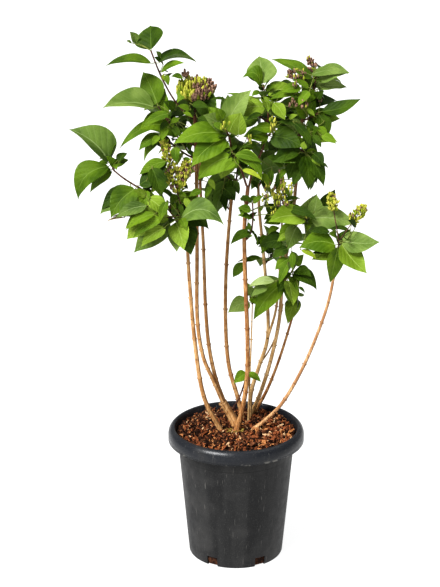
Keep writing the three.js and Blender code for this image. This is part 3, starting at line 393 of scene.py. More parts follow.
class Limb:
    """A stem or bough with the source's curve and rings, which the foliage sits on."""

    def __init__(self, row, limbs):
        path = [Vector(p) for p in row["points"]]
        self.name = row["name"]
        self.radii = row["radii"]
        self.flare = row.get("flare", 0)
        self.seat = UP
        if "on" not in row:
            path[0].z = SOIL["top"] + GAP
        elif row.get("side"):
            point, self.seat = flank_of(limbs[row["on"]], path[0].z, path[1])
            path[0] = point
        else:
            parent = limbs[row["on"]]
            self.seat = parent.tip_way
            path[0] = path[0] + self.seat * (GAP - (path[0] - parent.tip).dot(self.seat))
        self.curve = smooth_curve(path)
        samples = [self.curve(i / CURVE_SAMPLES) for i in range(CURVE_SAMPLES + 1)]
        self.length = sum((b - a).length for a, b in zip(samples, samples[1:]))
        steps = max(FEWEST_STEPS, round(self.length / RING_STEP))
        self.rings = []
        for i in range(steps + 1):
            u = i / steps
            self.rings.append((self.curve(u), self.way(u), self.radius(u)))
        self.tip, self.tip_way, _ = self.rings[-1]

    def way(self, u):
        return self.seat if u == 0 else way_of(self.curve, u)

    def radius(self, u):
        return mix(*self.radii, u) + self.flare * math.exp(-u * self.length / FLARE_LENGTH)


def flank_of(limb, height, target):
    """The point just off a limb's flat side that faces a target, and the way that it faces."""
    rings = limb.rings
    above = max(1, next((i for i, ring in enumerate(rings) if ring[0].z > height), 1))
    low, high = rings[above - 1], rings[above]
    share = (height - low[0].z) / (high[0].z - low[0].z)
    centre = low[0].lerp(high[0], share)
    side, other = across((high[0] - low[0]).normalized(), Y_AXIS)
    inner = mix(low[2], high[2], share) * math.cos(math.pi / LIMB_SIDES)
    outward = target - centre
    turns = [(k + 0.5) * FULL_TURN / LIMB_SIDES for k in range(LIMB_SIDES)]
    flats = [side * math.sin(turn) + other * math.cos(turn) for turn in turns]
    normal = max(flats, key=lambda flat: flat.dot(outward))
    return centre + normal * (inner + GAP), normal


class Standing:
    """What stands already, for the rule that skips a leaf."""

    def __init__(self):
        self.owners = []
        self.trees = []
        self.lows = np.zeros((MOST_SHAPES, 3))
        self.highs = np.zeros((MOST_SHAPES, 3))

    def append(self, shape):
        owner, tree, low, high = shape
        self.lows[len(self.trees)] = low
        self.highs[len(self.trees)] = high
        self.owners.append(owner)
        self.trees.append(tree)

    def near(self, low, high):
        count = len(self.trees)
        apart = (self.lows[:count] > high).any(axis=1) | (self.highs[:count] < low).any(axis=1)
        return np.nonzero(~apart)[0]


standing = Standing()


def shape_of(points, faces, owner):
    tree = BVHTree.FromPolygons([p[:] for p in points], faces, all_triangles=True)
    places = np.array([p[:] for p in points])
    return owner, tree, places.min(axis=0), places.max(axis=0)


def touches(shape, owner):
    _, tree, low, high = shape
    others = (i for i in standing.near(low, high) if standing.owners[i] != owner)
    return any(tree.overlap(standing.trees[i]) for i in others)


def bar_shape(rings, sides, owner):
    """The shape of a limb's or twig's open tube of triangles."""
    points = [point for ring in rings for point in ring_points(*ring, sides)]
    faces = [face for a, b, c, d in band(len(rings), sides) for face in ((a, b, c), (a, c, d))]
    return shape_of(points, faces, owner)


class Twig:
    """A stalk that leaves its carrier straight and bows towards its end."""

    def __init__(self, start, normal, end, radii, bulge):
        reach = (end - start).length
        self.start, self.end, self.radii, self.normal = start, end, radii, normal
        self.control = start.lerp(end, bulge) + normal * (reach * bulge)
        self.binormal = normal.cross(end - start)
        if self.binormal.length < reach * TWIG["least_bend"]:
            self.binormal = normal.cross(X_AXIS if abs(normal.z) > TWIG["steep"] else UP)
        self.binormal.normalize()

    def at(self, u):
        return bow(self.start, self.control, self.end, u)

    def way(self, u):
        return bow_way(self.start, self.control, self.end, u).normalized()

    def ring(self, u, radius):
        tangent = self.normal if u == 0 else self.way(u)
        return self.at(u), self.binormal, self.binormal.cross(tangent), radius

    def shape(self, owner, steps=TWIG["steps"]):
        rings = [self.ring(k / steps, mix(*self.radii, k / steps)) for k in range(steps + 1)]
        return bar_shape(rings, TWIG["sides"], owner)


def cross_ways(chord, base):
    along = chord.normalized()
    outside = Vector((base.x * CROWN["flatness"], base.y - CROWN["middle"], 0)).normalized()
    up = UP - along * UP.dot(along)
    light = outside + UP
    face = light - along * light.dot(along)
    if face.length < CROWN["edge_on"]:
        face += up
    face.normalize()
    flat = along.cross(face)
    if flat.dot(outside) < 0:
        flat.negate()
    return face, flat, up + face * (1 - up.length)


class Blade:
    """A leaf from its node to its tip: where its petiole ends, its midrib and the way it faces."""

    def __init__(self, node, tip, turn, arch, broad):
        self.node, self.tip, self.fold = node, tip, None
        self.base = node.lerp(tip, PETIOLE["share"])
        self.chord = tip - self.base
        self.length = self.chord.length
        face, flat, rise = cross_ways(self.chord, self.base)
        self.normal = around(face, flat, math.radians(turn))
        self.side = self.chord.cross(self.normal).normalized()
        self.control = (self.base + tip) / 2 + rise * (arch * 2 * self.length)
        self.half = min(self.length * LEAF["width"], LEAF["widest"]) * broad / 2

    def midrib(self, v):
        return bow(self.base, self.control, self.tip, v)

    def corners(self, margin):
        def edge(at, share, way):
            return (self.midrib(at) + self.side * (way * (self.half * share + margin))
                    + self.normal * (self.half * share * LEAF["fold"]))

        def ridge(way):
            rise = self.length * LEAF["thickness"] / 2 + margin
            return self.midrib(LEAF["ridge_at"]) + self.normal * (way * rise)

        r = PETIOLE["radius"]
        points = []
        for centre in (self.node, self.base):
            points.append(centre + self.side * r + self.normal * (r / 2))
            points.append(centre - self.side * r + self.normal * (r / 2))
            points.append(centre - self.normal * r)
        points.append(self.tip + self.chord * (margin / self.length))
        for way in (1, -1):
            points.append(edge(LEAF["shoulder_at"], LEAF["shoulder"], way))
            points.append(edge(LEAF["waist_at"], LEAF["waist"], way))
        return [*points, ridge(1), ridge(-1)]


# Turn, arch, breadth and fold of a leaf whose row leaves them out
BY_HAND = (0, LEAF["arch"], 1, None)


def rule_tip(twig, at, turn, length):
    tangent = twig.way(at)
    side, other = across_upright(tangent)
    way = tangent * math.cos(SPREAD) + side * (math.sin(SPREAD) * math.cos(turn))
    way += other * (math.sin(SPREAD) * math.sin(turn))
    way.z -= DROOP
    return twig.at(at) + way.normalized() * length


class Mass:
    """A mass of foliage: its twigs with the shares along them of their nodes, and its leaves."""

    def __init__(self, row, limbs):
        limb = limbs[row["on"]]
        end = Vector(row["end"])
        start, normal = limb.tip + limb.tip_way * GAP, limb.tip_way
        if row.get("at"):
            start, normal = flank_of(limb, row["at"], end)
        self.row, self.name = row, row["name"]
        self.twig = Twig(start, normal, end, (TWIG["radius"], TWIG["tip"]), TWIG["bulge"])
        self.twigs = [(self.twig, [])]
        self.leaves = []
        self.heart = self.twig.at(0.5)
        self.reach = math.inf if "tips" in row else MASS_REACH
        self.seed = row.get("seed", len(self.name))
        self.random = seeded(self.seed)
        standing.append(self.twig.shape(self.name))

    def add_leaf(self, node, tip, leaf, given, tint):
        owners = (None, self.name) if given else (None,)
        swings = [(swing, owner) for owner in owners for swing in SWINGS]
        turn, arch, broad, fold = leaf
        for (forward, extra), own in swings:
            swung = Vector((tip.x, tip.y - forward, tip.z))
            blade = Blade(node, swung, turn + extra, arch, broad)
            corners = blade.corners(0)
            petiole = shape_of(corners, PETIOLE_FACES, self.name)
            wide = shape_of(blade.corners(LEAF_CLEARANCE), BLADE_FACES, None)
            if (swung - self.heart).length > self.reach or touches(petiole, self.name) or touches(wide, own):
                continue
            standing.append(petiole)
            standing.append(shape_of(corners, BLADE_FACES, self.name))
            blade.tint = tint
            blade.fold = fold
            self.leaves.append(blade)
            return

    def add_pairs(self, twig, nodes, first, pairs, first_turn, leaf_length, tips):
        tints = self.row.get("tints", BACK_TINTS)
        for pair in range(pairs):
            at = TWIG["last"] if pairs == 1 else mix(first, TWIG["last"], pair / (pairs - 1))
            nodes.append(at)
            node = twig.at(at)
            for leaf in range(2):
                turn = first_turn + pair * (math.pi / 2) + leaf * math.pi + mix(*VARY["turn"], self.random())
                length = leaf_length * mix(*VARY["length"], self.random())
                broad = mix(*VARY["width"], self.random())
                roll = mix(*VARY["roll"], self.random())
                arch = LEAF["arch"] * mix(*VARY["arch"], self.random())
                i = pair * 2 + leaf
                tint = tints[i % len(tints)]
                if i >= len(tips):
                    tip = rule_tip(twig, at, turn, length)
                    self.add_leaf(node, tip, (roll, arch, broad, None), False, tint)
                elif tips[i]:
                    x, y, z, *given = tips[i]
                    leaf_shape = (*given, *BY_HAND[len(given):])
                    self.add_leaf(node, Vector((x, y, z)), leaf_shape, True, tint)

    def add_foliage(self):
        tips = self.row.get("tips", [])
        turn = math.radians(self.row.get("turn", 0))
        first = self.row.get("first", TWIG["first"])
        pairs = self.row.get("pairs", len(tips) // 2)
        self.add_pairs(self.twig, self.twigs[0][1], first, pairs, turn, LEAF["length"], tips)
        for i in range(self.row.get("sprigs", 0)):
            at = SPRIG["first"] + SPRIG["step"] * (i + self.random())
            start = self.twig.at(at)
            way = turn + self.random() * FULL_TURN
            end = rule_tip(self.twig, at, way, mix(*SPRIG["length"], self.random()))
            end.z += SPRIG["lift"]
            radii = (TWIG["tip"], TWIG["tip"] * SPRIG["tip_share"])
            sprig = Twig(start, (end - start).normalized(), end, radii, TWIG["bulge"])
            shape = sprig.shape(self.name)
            if touches(shape, self.name):
                continue
            standing.append(shape)
            nodes = []
            self.twigs.append((sprig, nodes))
            length = LEAF["length"] * SPRIG["leaf_share"]
            self.add_pairs(sprig, nodes, TWIG["first"], SPRIG["pairs"], way, length, [])


def bipyramid_shape(start, end, width, sides, owner):
    """The shape of the source's plain bud: a ring of points with a point at either end."""
    middle = (start + end) / 2
    half = (end - start) * (PANICLE["overlap"] / 2)
    turn = UP.rotation_difference((end - start).normalized())
    points = [middle + half]
    for i in range(sides):
        a = FULL_TURN * i / sides
        points.append(middle + turn @ Vector((-math.cos(a) * width / 2, -math.sin(a) * width / 2, 0)))
    points.append(middle - half)
    last = sides + 1
    faces = []
    for i in range(sides):
        j = i % sides + 1
        k = (i + 1) % sides + 1
        faces += [(0, j, k), (last, k, j)]
    return shape_of(points, faces, owner)


class Cluster:
    """The source's core and branchlets of a bud cluster, which the finer buds keep to."""

    def __init__(self, mass, spec):
        x, y, z, self.width, bare, share = *spec, *PANICLE_DEFAULTS[len(spec) - 4:]
        self.mass = mass
        self.start = mass.twig.at(share)
        self.top = Vector((x, y, z))
        self.way = (self.top - self.start).normalized()
        self.side, self.other = across_upright(self.way, UPRIGHT_PANICLE)
        self.wide = self.width > PANICLE["wide"]
        self.foot = self.start.lerp(self.top, bare)
        core = self.width * PANICLE["core_share"] if self.wide else PANICLE["axis"]
        core_sides, per_row = (5, 6) if self.wide else (3, 3)
        root = self.start - self.way * PANICLE["root"]
        standing.append(bipyramid_shape(root, self.top, core, core_sides, mass.name))
        fewest, most = PANICLE["rows"]
        rows = min(max(round((self.top - self.foot).length / PANICLE["row_step"]), fewest), most)
        for level in range(rows):
            at = (level + 0.5) / rows
            swell = math.sin(math.pi * mix(*PANICLE["swell"], at))
            for i in range(per_row):
                place = i + PANICLE["jitter"] * mass.random()
                turn = level * PANICLE["row_turn"] + place * FULL_TURN / per_row
                outward = around(self.side, self.other, turn)
                sunk = core * PANICLE["sunk"]
                heart = self.foot.lerp(self.top, at * PANICLE["rows_share"]) + outward * (sunk * swell)
                spread = self.width / 2 * swell
                end = heart + outward * (spread - sunk) + self.way * (spread * PANICLE["rise"])
                width = PANICLE["branchlet"] if self.wide else PANICLE["bud"]
                standing.append(bipyramid_shape(heart, end, width, 3, mass.name))


limbs = {}
for row in LIMBS:
    limb = Limb(row, limbs)
    limbs[limb.name] = limb
    rings = [(centre, *across(tangent, Y_AXIS), radius) for centre, tangent, radius in limb.rings]
    standing.append(bar_shape(rings, LIMB_SIDES, limb.name))

masses = [Mass(row, limbs) for row in MASSES]
clusters = [Cluster(mass, spec) for mass in masses for spec in mass.row.get("panicles", [])]
for mass in masses:
    mass.add_foliage()


# The camera, and the places in its picture, in pixels from left and top, where the sky shows through
CAMERA = dict(place=(-39, -3900, 2013), tilt=math.radians(70.91), focal=1755, width=440, height=587,
              sensor=36)
SKY = [
    (233, 247, 180, 196), (250, 256, 185, 212), (261, 270, 190, 196), (277, 285, 141, 157),
    (259, 271, 163, 168), (252, 263, 118, 128), (275, 293, 126, 130), (300, 310, 180, 215),
    (188, 197, 180, 189), (182, 195, 122, 128), (165, 175, 168, 175), (160, 170, 200, 212),
    (244, 256, 107, 112), (283, 289, 97, 104), (271, 288, 62, 88),
]


def seen_at(point):
    """The pixel at which the camera sees a point."""
    away = point - Vector(CAMERA["place"])
    depth = away.y * math.sin(CAMERA["tilt"]) - away.z * math.cos(CAMERA["tilt"])
    height = away.y * math.cos(CAMERA["tilt"]) + away.z * math.sin(CAMERA["tilt"])
    return (CAMERA["width"] / 2 + CAMERA["focal"] * away.x / depth,
            CAMERA["height"] / 2 - CAMERA["focal"] * height / depth)


def place_at(x, y, depth):
    """The point at a depth of the crown that the camera sees at a pixel of its picture."""
    right = (x - CAMERA["width"] / 2) / CAMERA["focal"]
    up = (CAMERA["height"] / 2 - y) / CAMERA["focal"]
    sine, cosine = math.sin(CAMERA["tilt"]), math.cos(CAMERA["tilt"])
    ray = Vector((right, sine + up * cosine, up * sine - cosine))
    start = Vector(CAMERA["place"])
    return start + ray * ((depth - start.y) / ray.y)


def in_sky(points):
    for x, y in map(seen_at, points):
        if any(left < x < right and top < y < bottom for left, right, top, bottom in SKY):
            return True
    return False


# Finer growth by the same rule: short spurs with small leaves on the masses' twigs and the limbs. A spur's
# pairs of leaves are given as their share along it, their turn in quarters and their share of the length.
SPUR = dict(length=(10, 30), leaf=(24, 50), radii=(0.9, 0.6), bulge=0.1, steps=2, along=0.5, rise=0.25,
            pairs=((0.45, 0, 0.75), (0.99, 1, 1)), light=0.45, first=0.16, last=0.98, step=0.19,
            uneven=(0.7, 0.6), seed=400)
LIMB_SPUR = dict(step=34, lowest=880, stray=0.8, seed=900, low=(-1000, -1000, 0), high=(1000, 1000, 1210))


def grow_spur(mass, start, tangent, turn, draw, low, high):
    out = around(*across_upright(tangent), turn)
    way = (tangent * SPUR["along"] + out + UP * SPUR["rise"]).normalized()
    end = start + way * mix(*SPUR["length"], draw())
    if in_sky([end]):
        return
    spur = Twig(start, way, end, SPUR["radii"], SPUR["bulge"])
    shape = spur.shape(mass.name, SPUR["steps"])
    if touches(shape, mass.name):
        return
    kept = []
    for at, quarters, share in SPUR["pairs"]:
        for leaf in range(2):
            length = mix(*SPUR["leaf"], draw()) * share
            tip = rule_tip(spur, at, turn + quarters * math.pi / 2 + leaf * math.pi, length)
            roll = mix(*VARY["roll"], draw())
            blade = Blade(spur.at(at), tip, roll, LEAF["arch"] * mix(*VARY["arch"], draw()), 1)
            wide = shape_of(blade.corners(0), BLADE_FACES, mass.name)
            inside = (wide[2] > low).all() and (wide[3] < high).all()
            if inside and not in_sky(blade.corners(1)[BLADE_EDGE]) and not touches(wide, None):
                standing.append(wide)
                # Painted shade: a spur leaf past the light share takes d, the dark copy of the mid green m
                blade.tint = "m" if draw() < SPUR["light"] else "d"
                kept.append(blade)
    if kept:
        standing.append(shape)
        mass.twigs.append((spur, [SPUR["pairs"][0][0]]))
        mass.leaves.extend(kept)


for mass in masses:
    draw = seeded(mass.seed + SPUR["seed"])
    reach = np.array([point[:] for blade in mass.leaves for point in blade.corners(0)])
    if not len(reach):
        continue
    low, high = reach.min(axis=0), reach.max(axis=0)
    least, more = SPUR["uneven"]
    for twig, _ in list(mass.twigs):
        at = SPUR["first"]
        while at < SPUR["last"]:
            grow_spur(mass, twig.at(at), twig.way(at), draw() * FULL_TURN, draw, low, high)
            at += SPUR["step"] * (least + more * draw())

crown_mass = {}
for mass in masses:
    crown_mass.setdefault(mass.row["on"], mass)
for name, mass in crown_mass.items():
    limb = limbs[name]
    draw = seeded(len(name) + LIMB_SPUR["seed"])
    low, high = np.array(LIMB_SPUR["low"]), np.array(LIMB_SPUR["high"])
    steps = int(limb.length / LIMB_SPUR["step"])
    for i in range(1, steps):
        place = limb.curve(i / steps)
        if place.z < LIMB_SPUR["lowest"]:
            continue
        for half_turn in range(2):
            turn = i * math.pi / 2 + half_turn * math.pi + draw() * LIMB_SPUR["stray"]
            grow_spur(mass, place, limb.way(i / steps), turn, draw, low, high)


# Small leaves of the near side: pixel of the node (left, top), pixel of the tip, depth of the tip in mm,
# breadth and tint, each measured
SMALL_LEAF = dict(set_back=8, arch=0.1, most_turn=80, turn_step=20, stray=0.7,
                  swings=(0, 8, -8, 16, -16, 24, -24, 32))
# Tints b and p are painted light, d painted shade, g and h painted sheen, and y a painted glow through the
# blade
SMALL_LEAVES = [
    # Top left, round the thick head
    (184, 78, 171, 76.5, -20, 0.8, "m"), (166, 74, 168.5, 86, -10, 0.8, "m"),
    (163, 80, 164.5, 73, -5, 0.6, "y"), (161, 58, 156, 51, 6, 0.8, "g"), (161, 62, 154, 57, 4, 0.8, "d"),
    (161, 60.5, 181, 59.5, 8, 0.22, "d"), (176, 110, 163.5, 101, -10, 1.1, "d"),
    (191, 110, 177, 106, -30, 0.7, "m"), (191, 104, 209, 108, -34, 0.7, "d"),
    (197, 117, 213, 127, -30, 0.7, "d"), (227, 99, 210, 100, -40, 0.3, "d"),
    (180, 118, 170, 124, -40, 0.8, "m"), (170, 112, 142, 128, -75, 0.5, "m"),
    (222, 121, 216, 107, -60, 1.1, "m"), (168, 121, 160, 131, -60, 0.8, "d"),
    (183, 112, 193, 118, -40, 0.6, "m"),
    # Left side
    (168, 127, 161, 142, -60, 0.7, "m"), (176, 146, 176, 163, -66, 0.9, "m"),
    (182, 137, 207, 136, -55, 0.55, "d"), (137, 43, 129.5, 31.5, 20, 1.0, "g"),
    (132, 43, 126, 41, 22, 0.8, "g"), (308, 74, 349, 74, -34, 0.42, "g"),
    (168, 160, 139, 175, -85, 0.6, "m"), (152, 166, 162, 197, -95, 0.85, "d"),
    (131, 187, 102, 208, -85, 0.75, "d"), (163, 214, 129, 206, -118, 0.75, "b"),
    (150, 193, 161, 186, -105, 0.6, "b"), (147, 196, 133, 188, -108, 0.7, "b"),
    (147, 196, 168, 216, -112, 0.9, "b"), (125, 217, 106, 222, -120, 0.2, "n"),
    (128, 216, 112, 217, -118, 0.3, "n"), (202, 190, 189, 197, -60, 0.8, "m"),
    (202, 199, 211, 212, -50, 0.6, "d"), (185, 197, 190, 212, -75, 0.8, "b"),
    (176, 202, 172, 216, -70, 0.55, "m"), (179, 202, 183, 215, -66, 0.6, "d"),
    (212, 185, 205, 200, -40, 0.6, "m"), (208, 178, 215, 190, -40, 0.7, "b"),
    (160, 135, 152, 146, -66, 0.8, "m"), (172, 126, 180, 137, -56, 0.8, "d"),
    (190, 128, 181, 133, -45, 0.7, "d"), (186, 150, 196, 158, -50, 0.6, "d"),
    (183, 158, 192, 161, -60, 0.5, "m"),
    # Centre
    (238, 137, 241, 112, -70, 0.95, "b"), (263, 113, 246, 121, -50, 0.45, "d"),
    (248, 134, 263, 131, -45, 0.5, "d"), (258, 143, 241, 147, -50, 0.6, "d"),
    (264, 128, 256, 140, -40, 0.8, "m"), (268, 135, 262, 147, -42, 0.8, "m"),
    (233, 153, 262, 163, -88, 0.5, "m"), (241, 168, 263, 180, -92, 0.35, "y"),
    (303, 149, 304, 140.5, -64, 1.1, "b"), (285, 166, 266, 156, -50, 0.75, "d"),
    (300, 152, 284, 161, -52, 0.6, "d"), (272, 168, 268, 190, -10, 0.55, "m"),
    (262, 178, 266, 194, 0, 0.5, "d"), (281, 170, 276, 190, -10, 0.5, "d"),
    (284, 186, 290, 200, -5, 0.5, "m"), (262, 200, 273, 196, 0, 0.5, "m"),
    (263, 205, 259, 213, 0, 0.7, "b"), (268, 205, 268, 214, 0, 1.0, "d"),
    (272, 207, 281, 214, 0, 0.9, "d"), (283, 199, 301, 198, -10, 0.4, "d"),
    (284, 206, 316, 216, -20, 0.5, "d"), (292, 205, 282, 211, -25, 0.7, "b"),
    (291, 213, 268, 218, -20, 0.5, "b"), (282, 214, 303, 225, -15, 0.4, "g"),
    (222, 193, 236, 190, 60, 0.6, "m"), (224, 186, 235, 197, 70, 1.2, "d"),
    (252, 180, 258, 190, 40, 0.6, "d"), (240, 198, 249, 201, -50, 0.95, "d"),
    (249, 200, 259, 199, -50, 0.95, "d"), (243, 205, 242, 215, -50, 1.1, "m"),
    (248, 220, 258, 213, -52, 0.6, "d"), (248, 221, 250, 231, -52, 0.6, "d"),
    (245, 237, 253, 236, -50, 0.8, "g"), (254, 232, 258, 245, -46, 0.35, "d"),
    (262, 259, 236, 264, -20, 0.22, "d"),
    # Right middle
    (290, 232, 277, 242, -30, 0.5, "b"), (332, 232, 308, 232, -62, 0.5, "d"),
    (300, 249, 317, 259.5, -74, 0.45, "y"), (328, 252, 311, 254, -66, 0.4, "d"),
    (356, 226, 347, 218, -60, 0.7, "d"), (350, 230, 329, 230, -50, 0.35, "d"),
    (284, 240, 258, 247, -10, 0.9, "d"), (282, 234, 266, 238, 0, 0.7, "d"),
    (290, 247, 273, 258, -15, 0.9, "d"), (290, 258, 275, 270, -20, 0.9, "m"),
    (288, 262, 279, 283, -28, 0.6, "m"), (292, 250, 292, 270, -30, 0.55, "m"),
    (292, 272, 281, 282, -30, 0.5, "d"), (298, 286, 305, 293, -28, 0.5, "d"),
    (262, 287, 250, 296, -6, 0.8, "g"),
    # Top right
    (266, 89, 275, 86, -20, 0.9, "m"), (303, 88, 281, 92.5, -50, 0.9, "m"),
    (297, 93, 270, 99.5, -46, 0.45, "m"), (283, 91, 270, 96, -40, 0.4, "d"),
    (310, 90, 298, 106, -54, 0.9, "m"), (310, 88, 291, 80, -48, 0.45, "m"),
    (272, 101, 285, 120, -64, 0.95, "b"), (272, 103, 277, 117, -56, 0.55, "d"),
    (288, 119, 298, 115, -60, 0.7, "b"), (276, 121, 303, 128, -58, 0.35, "d"),
    (293, 121, 312, 147, -72, 0.45, "d"), (317, 98, 324, 90, -36, 1.0, "d"),
    (306, 108, 315, 117, -50, 0.6, "b"), (308, 120, 312, 131, -45, 0.8, "d"),
    (318, 126, 327, 137, -60, 0.8, "m"), (311, 134, 321, 146, -56, 0.8, "d"),
    (312, 151, 323, 163, -50, 1.0, "d"), (311, 158, 320.5, 167, -56, 0.7, "b"),
    (264, 96, 270, 107, -60, 0.6, "b"), (250, 98, 262, 108, -60, 0.5, "b"),
    (150, 204, 116, 217, -128, 0.6, "h"), (157, 212, 126, 229, -134, 0.55, "m"),
    (164, 216, 133, 238, -138, 0.5, "m"), (167, 200, 160, 222, -136, 0.6, "m"),
    (277, 280, 248, 287, -28, 0.5, "p"), (268, 286, 251, 297, -28, 0.7, "g"),
    (192, 124, 203, 130, 20, 0.7, "m"), (184, 128, 172, 139, -20, 0.7, "m"),
    (213, 122, 224, 132, -60, 0.7, "m"), (314, 213, 317, 195, -42, 1.2, "g"),
    (166, 226, 141, 247, -134, 0.7, "b"), (320, 134, 336, 143, -64, 0.8, "m"),
    (301, 168, 293, 186, -44, 0.8, "d"), (262, 172, 268, 186, -44, 0.7, "m"),
    (286, 168, 279, 180, -42, 0.7, "m"),
]
# Heaps of buds between the leaves: pixel of the middle, depth in mm, width and height in pixels, and
# share of yellow
BUD_SPOTS = [
    (273, 126, -60, 6, 16, 1), (283, 186, -34, 7, 16, 0.7), (276, 201, -36, 8, 12, 0.9),
    (281, 175, 0, 4, 10, 0.4), (289, 76, -30, 4, 4, 0), (299, 76, -36, 10, 9, 0.4),
    (294, 86, -50, 6, 5, 0.3), (293, 103, -50, 9, 9, 0), (320, 102, -10, 3, 5, 0),
    (304, 105, -50, 8, 9, 0.1), (225, 128, -70, 9, 7, 1), (250, 141, -60, 5, 7, 0.7),
    (313, 66, -24, 6, 5, 0.6), (316, 65, -22, 3, 4, 0), (192, 167, -60, 7, 12, 0.5),
    (188, 172, -56, 5, 12, 0.4), (352, 217, -60, 7, 6, 0.8), (307, 217, -40, 4, 4, 1),
    (268, 188, -34, 6, 12, 0.8), (290, 190, -38, 5, 12, 0.9), (265, 201, -34, 6, 10, 0.8),
    (286, 203, -40, 6, 8, 0.8), (274, 212, -44, 6, 6, 0.9), (196, 158, -50, 5, 10, 0.6),
]

# Where a new stalk can spring from: points along the twigs, and along the limbs inside the crown
ANCHORS = dict(twig_steps=8, limb_step=12, lowest=600)
STALK_BULGE = 0.2
twig_shares = [(k + 1) / ANCHORS["twig_steps"] for k in range(ANCHORS["twig_steps"])]
anchors = [(twig.at(u), twig.way(u), mass) for mass in masses for twig, _ in mass.twigs for u in twig_shares]
for limb in limbs.values():
    steps = int(limb.length / ANCHORS["limb_step"])
    for u in (k / steps for k in range(1, steps)):
        if limb.curve(u).z > ANCHORS["lowest"] and limb.name in crown_mass:
            anchors.append((limb.curve(u), limb.way(u), crown_mass[limb.name]))
anchor_places = np.array([anchor[0][:] for anchor in anchors])


def grow_to(end):
    """A fine stalk from the nearest twig or limb to a given end."""
    nearest = int(np.argmin(((anchor_places - np.array(end[:])) ** 2).sum(axis=1)))
    start, along, mass = anchors[nearest]
    way = (along + (end - start).normalized()).normalized()
    mass.twigs.append((Twig(start, way, end, SPUR["radii"], STALK_BULGE), []))
    return mass


def facing(node, tip, broad, towards):
    """The blade whose turn shows the most of its upper side in a direction."""
    turns = range(-SMALL_LEAF["most_turn"], SMALL_LEAF["most_turn"] + 1, SMALL_LEAF["turn_step"])
    blades = [Blade(node, tip, turn, SMALL_LEAF["arch"], broad) for turn in turns]
    return max(blades, key=lambda blade: blade.normal.dot(towards))


for row, (x, y, tip_x, tip_y, depth, broad, tint) in enumerate(SMALL_LEAVES):
    node = place_at(x, y, depth + SMALL_LEAF["set_back"])
    tip = place_at(tip_x, tip_y, depth)
    mass = grow_to(node)
    draw = seeded(row + 1)
    stray = Vector((draw() - 0.5, 0, draw())) * SMALL_LEAF["stray"]
    towards = (Vector(CAMERA["place"]) - tip).normalized() + stray
    for forward in SMALL_LEAF["swings"]:
        blade = facing(node - Y_AXIS * (forward / 2), tip - Y_AXIS * forward, broad, towards)
        shape = shape_of(blade.corners(0), BLADE_FACES, mass.name)
        if not touches(shape, None):
            break
    standing.append(shape)
    blade.node = node
    blade.tint = tint
    mass.leaves.append(blade)
for x, y, depth, wide, high, yellow in BUD_SPOTS:
    grow_to(place_at(x, y + high / 2, depth))


# Leaves: blades on a grid of rows along the midrib, with the half widths there of a heart-shaped blade
# and of one that narrows to its stalk
LEAF_ROWS = np.array([0, 0.02, 0.05, 0.09, 0.14, 0.2, 0.27, 0.35, 0.43, 0.52, 0.61, 0.7, 0.79, 0.87, 0.94, 1])
HEART_OUTLINE = np.array([0.5, 0.61, 0.75, 0.86, 0.94, 0.98, 1, 0.97, 0.91, 0.81, 0.69, 0.54, 0.37, 0.21,
                          0.08, 0.01])
WEDGE_OUTLINE = np.array([0.1, 0.2, 0.37, 0.54, 0.71, 0.86, 0.96, 1, 0.99, 0.92, 0.81, 0.66, 0.47, 0.28,
                          0.11, 0.01])
LEAF_COLUMNS = np.linspace(-1, 1, 9)
# How a blade bends, in shares of its half width: its fold, curl, waves and twist. Its tip hooks down and
# its lobes reach back past the stalk by shares of its length.
BEND = dict(fold=(0.7, 2.2), fold_power=1.5, curl=0.12, wave=(0.02, 0.035), ripples=11, most_phase=6.3,
            uneven_sides=0.8, twist=0.22, hook=0.05, hook_from=0.72, power=1.5,
            lobe=0.045, lobe_to=0.2, lobe_inner=1.05)
# Thickness of a blade in mm, and how fast it is reached from the stalk and from the tip
BODY = dict(thick=0.6, from_stalk=12, from_tip=8)


def leaf_faces(reverse):
    rows, columns = len(LEAF_ROWS), len(LEAF_COLUMNS)
    faces = []
    for i in range(rows - 1):
        for a in range(i * columns, i * columns + columns - 1):
            quad = (a, a + 1, a + columns + 1, a + columns)
            faces.append(quad[::-1] if reverse else quad)
    return faces


LEAF_TOP = leaf_faces(False)
LEAF_UNDER = leaf_faces(True)


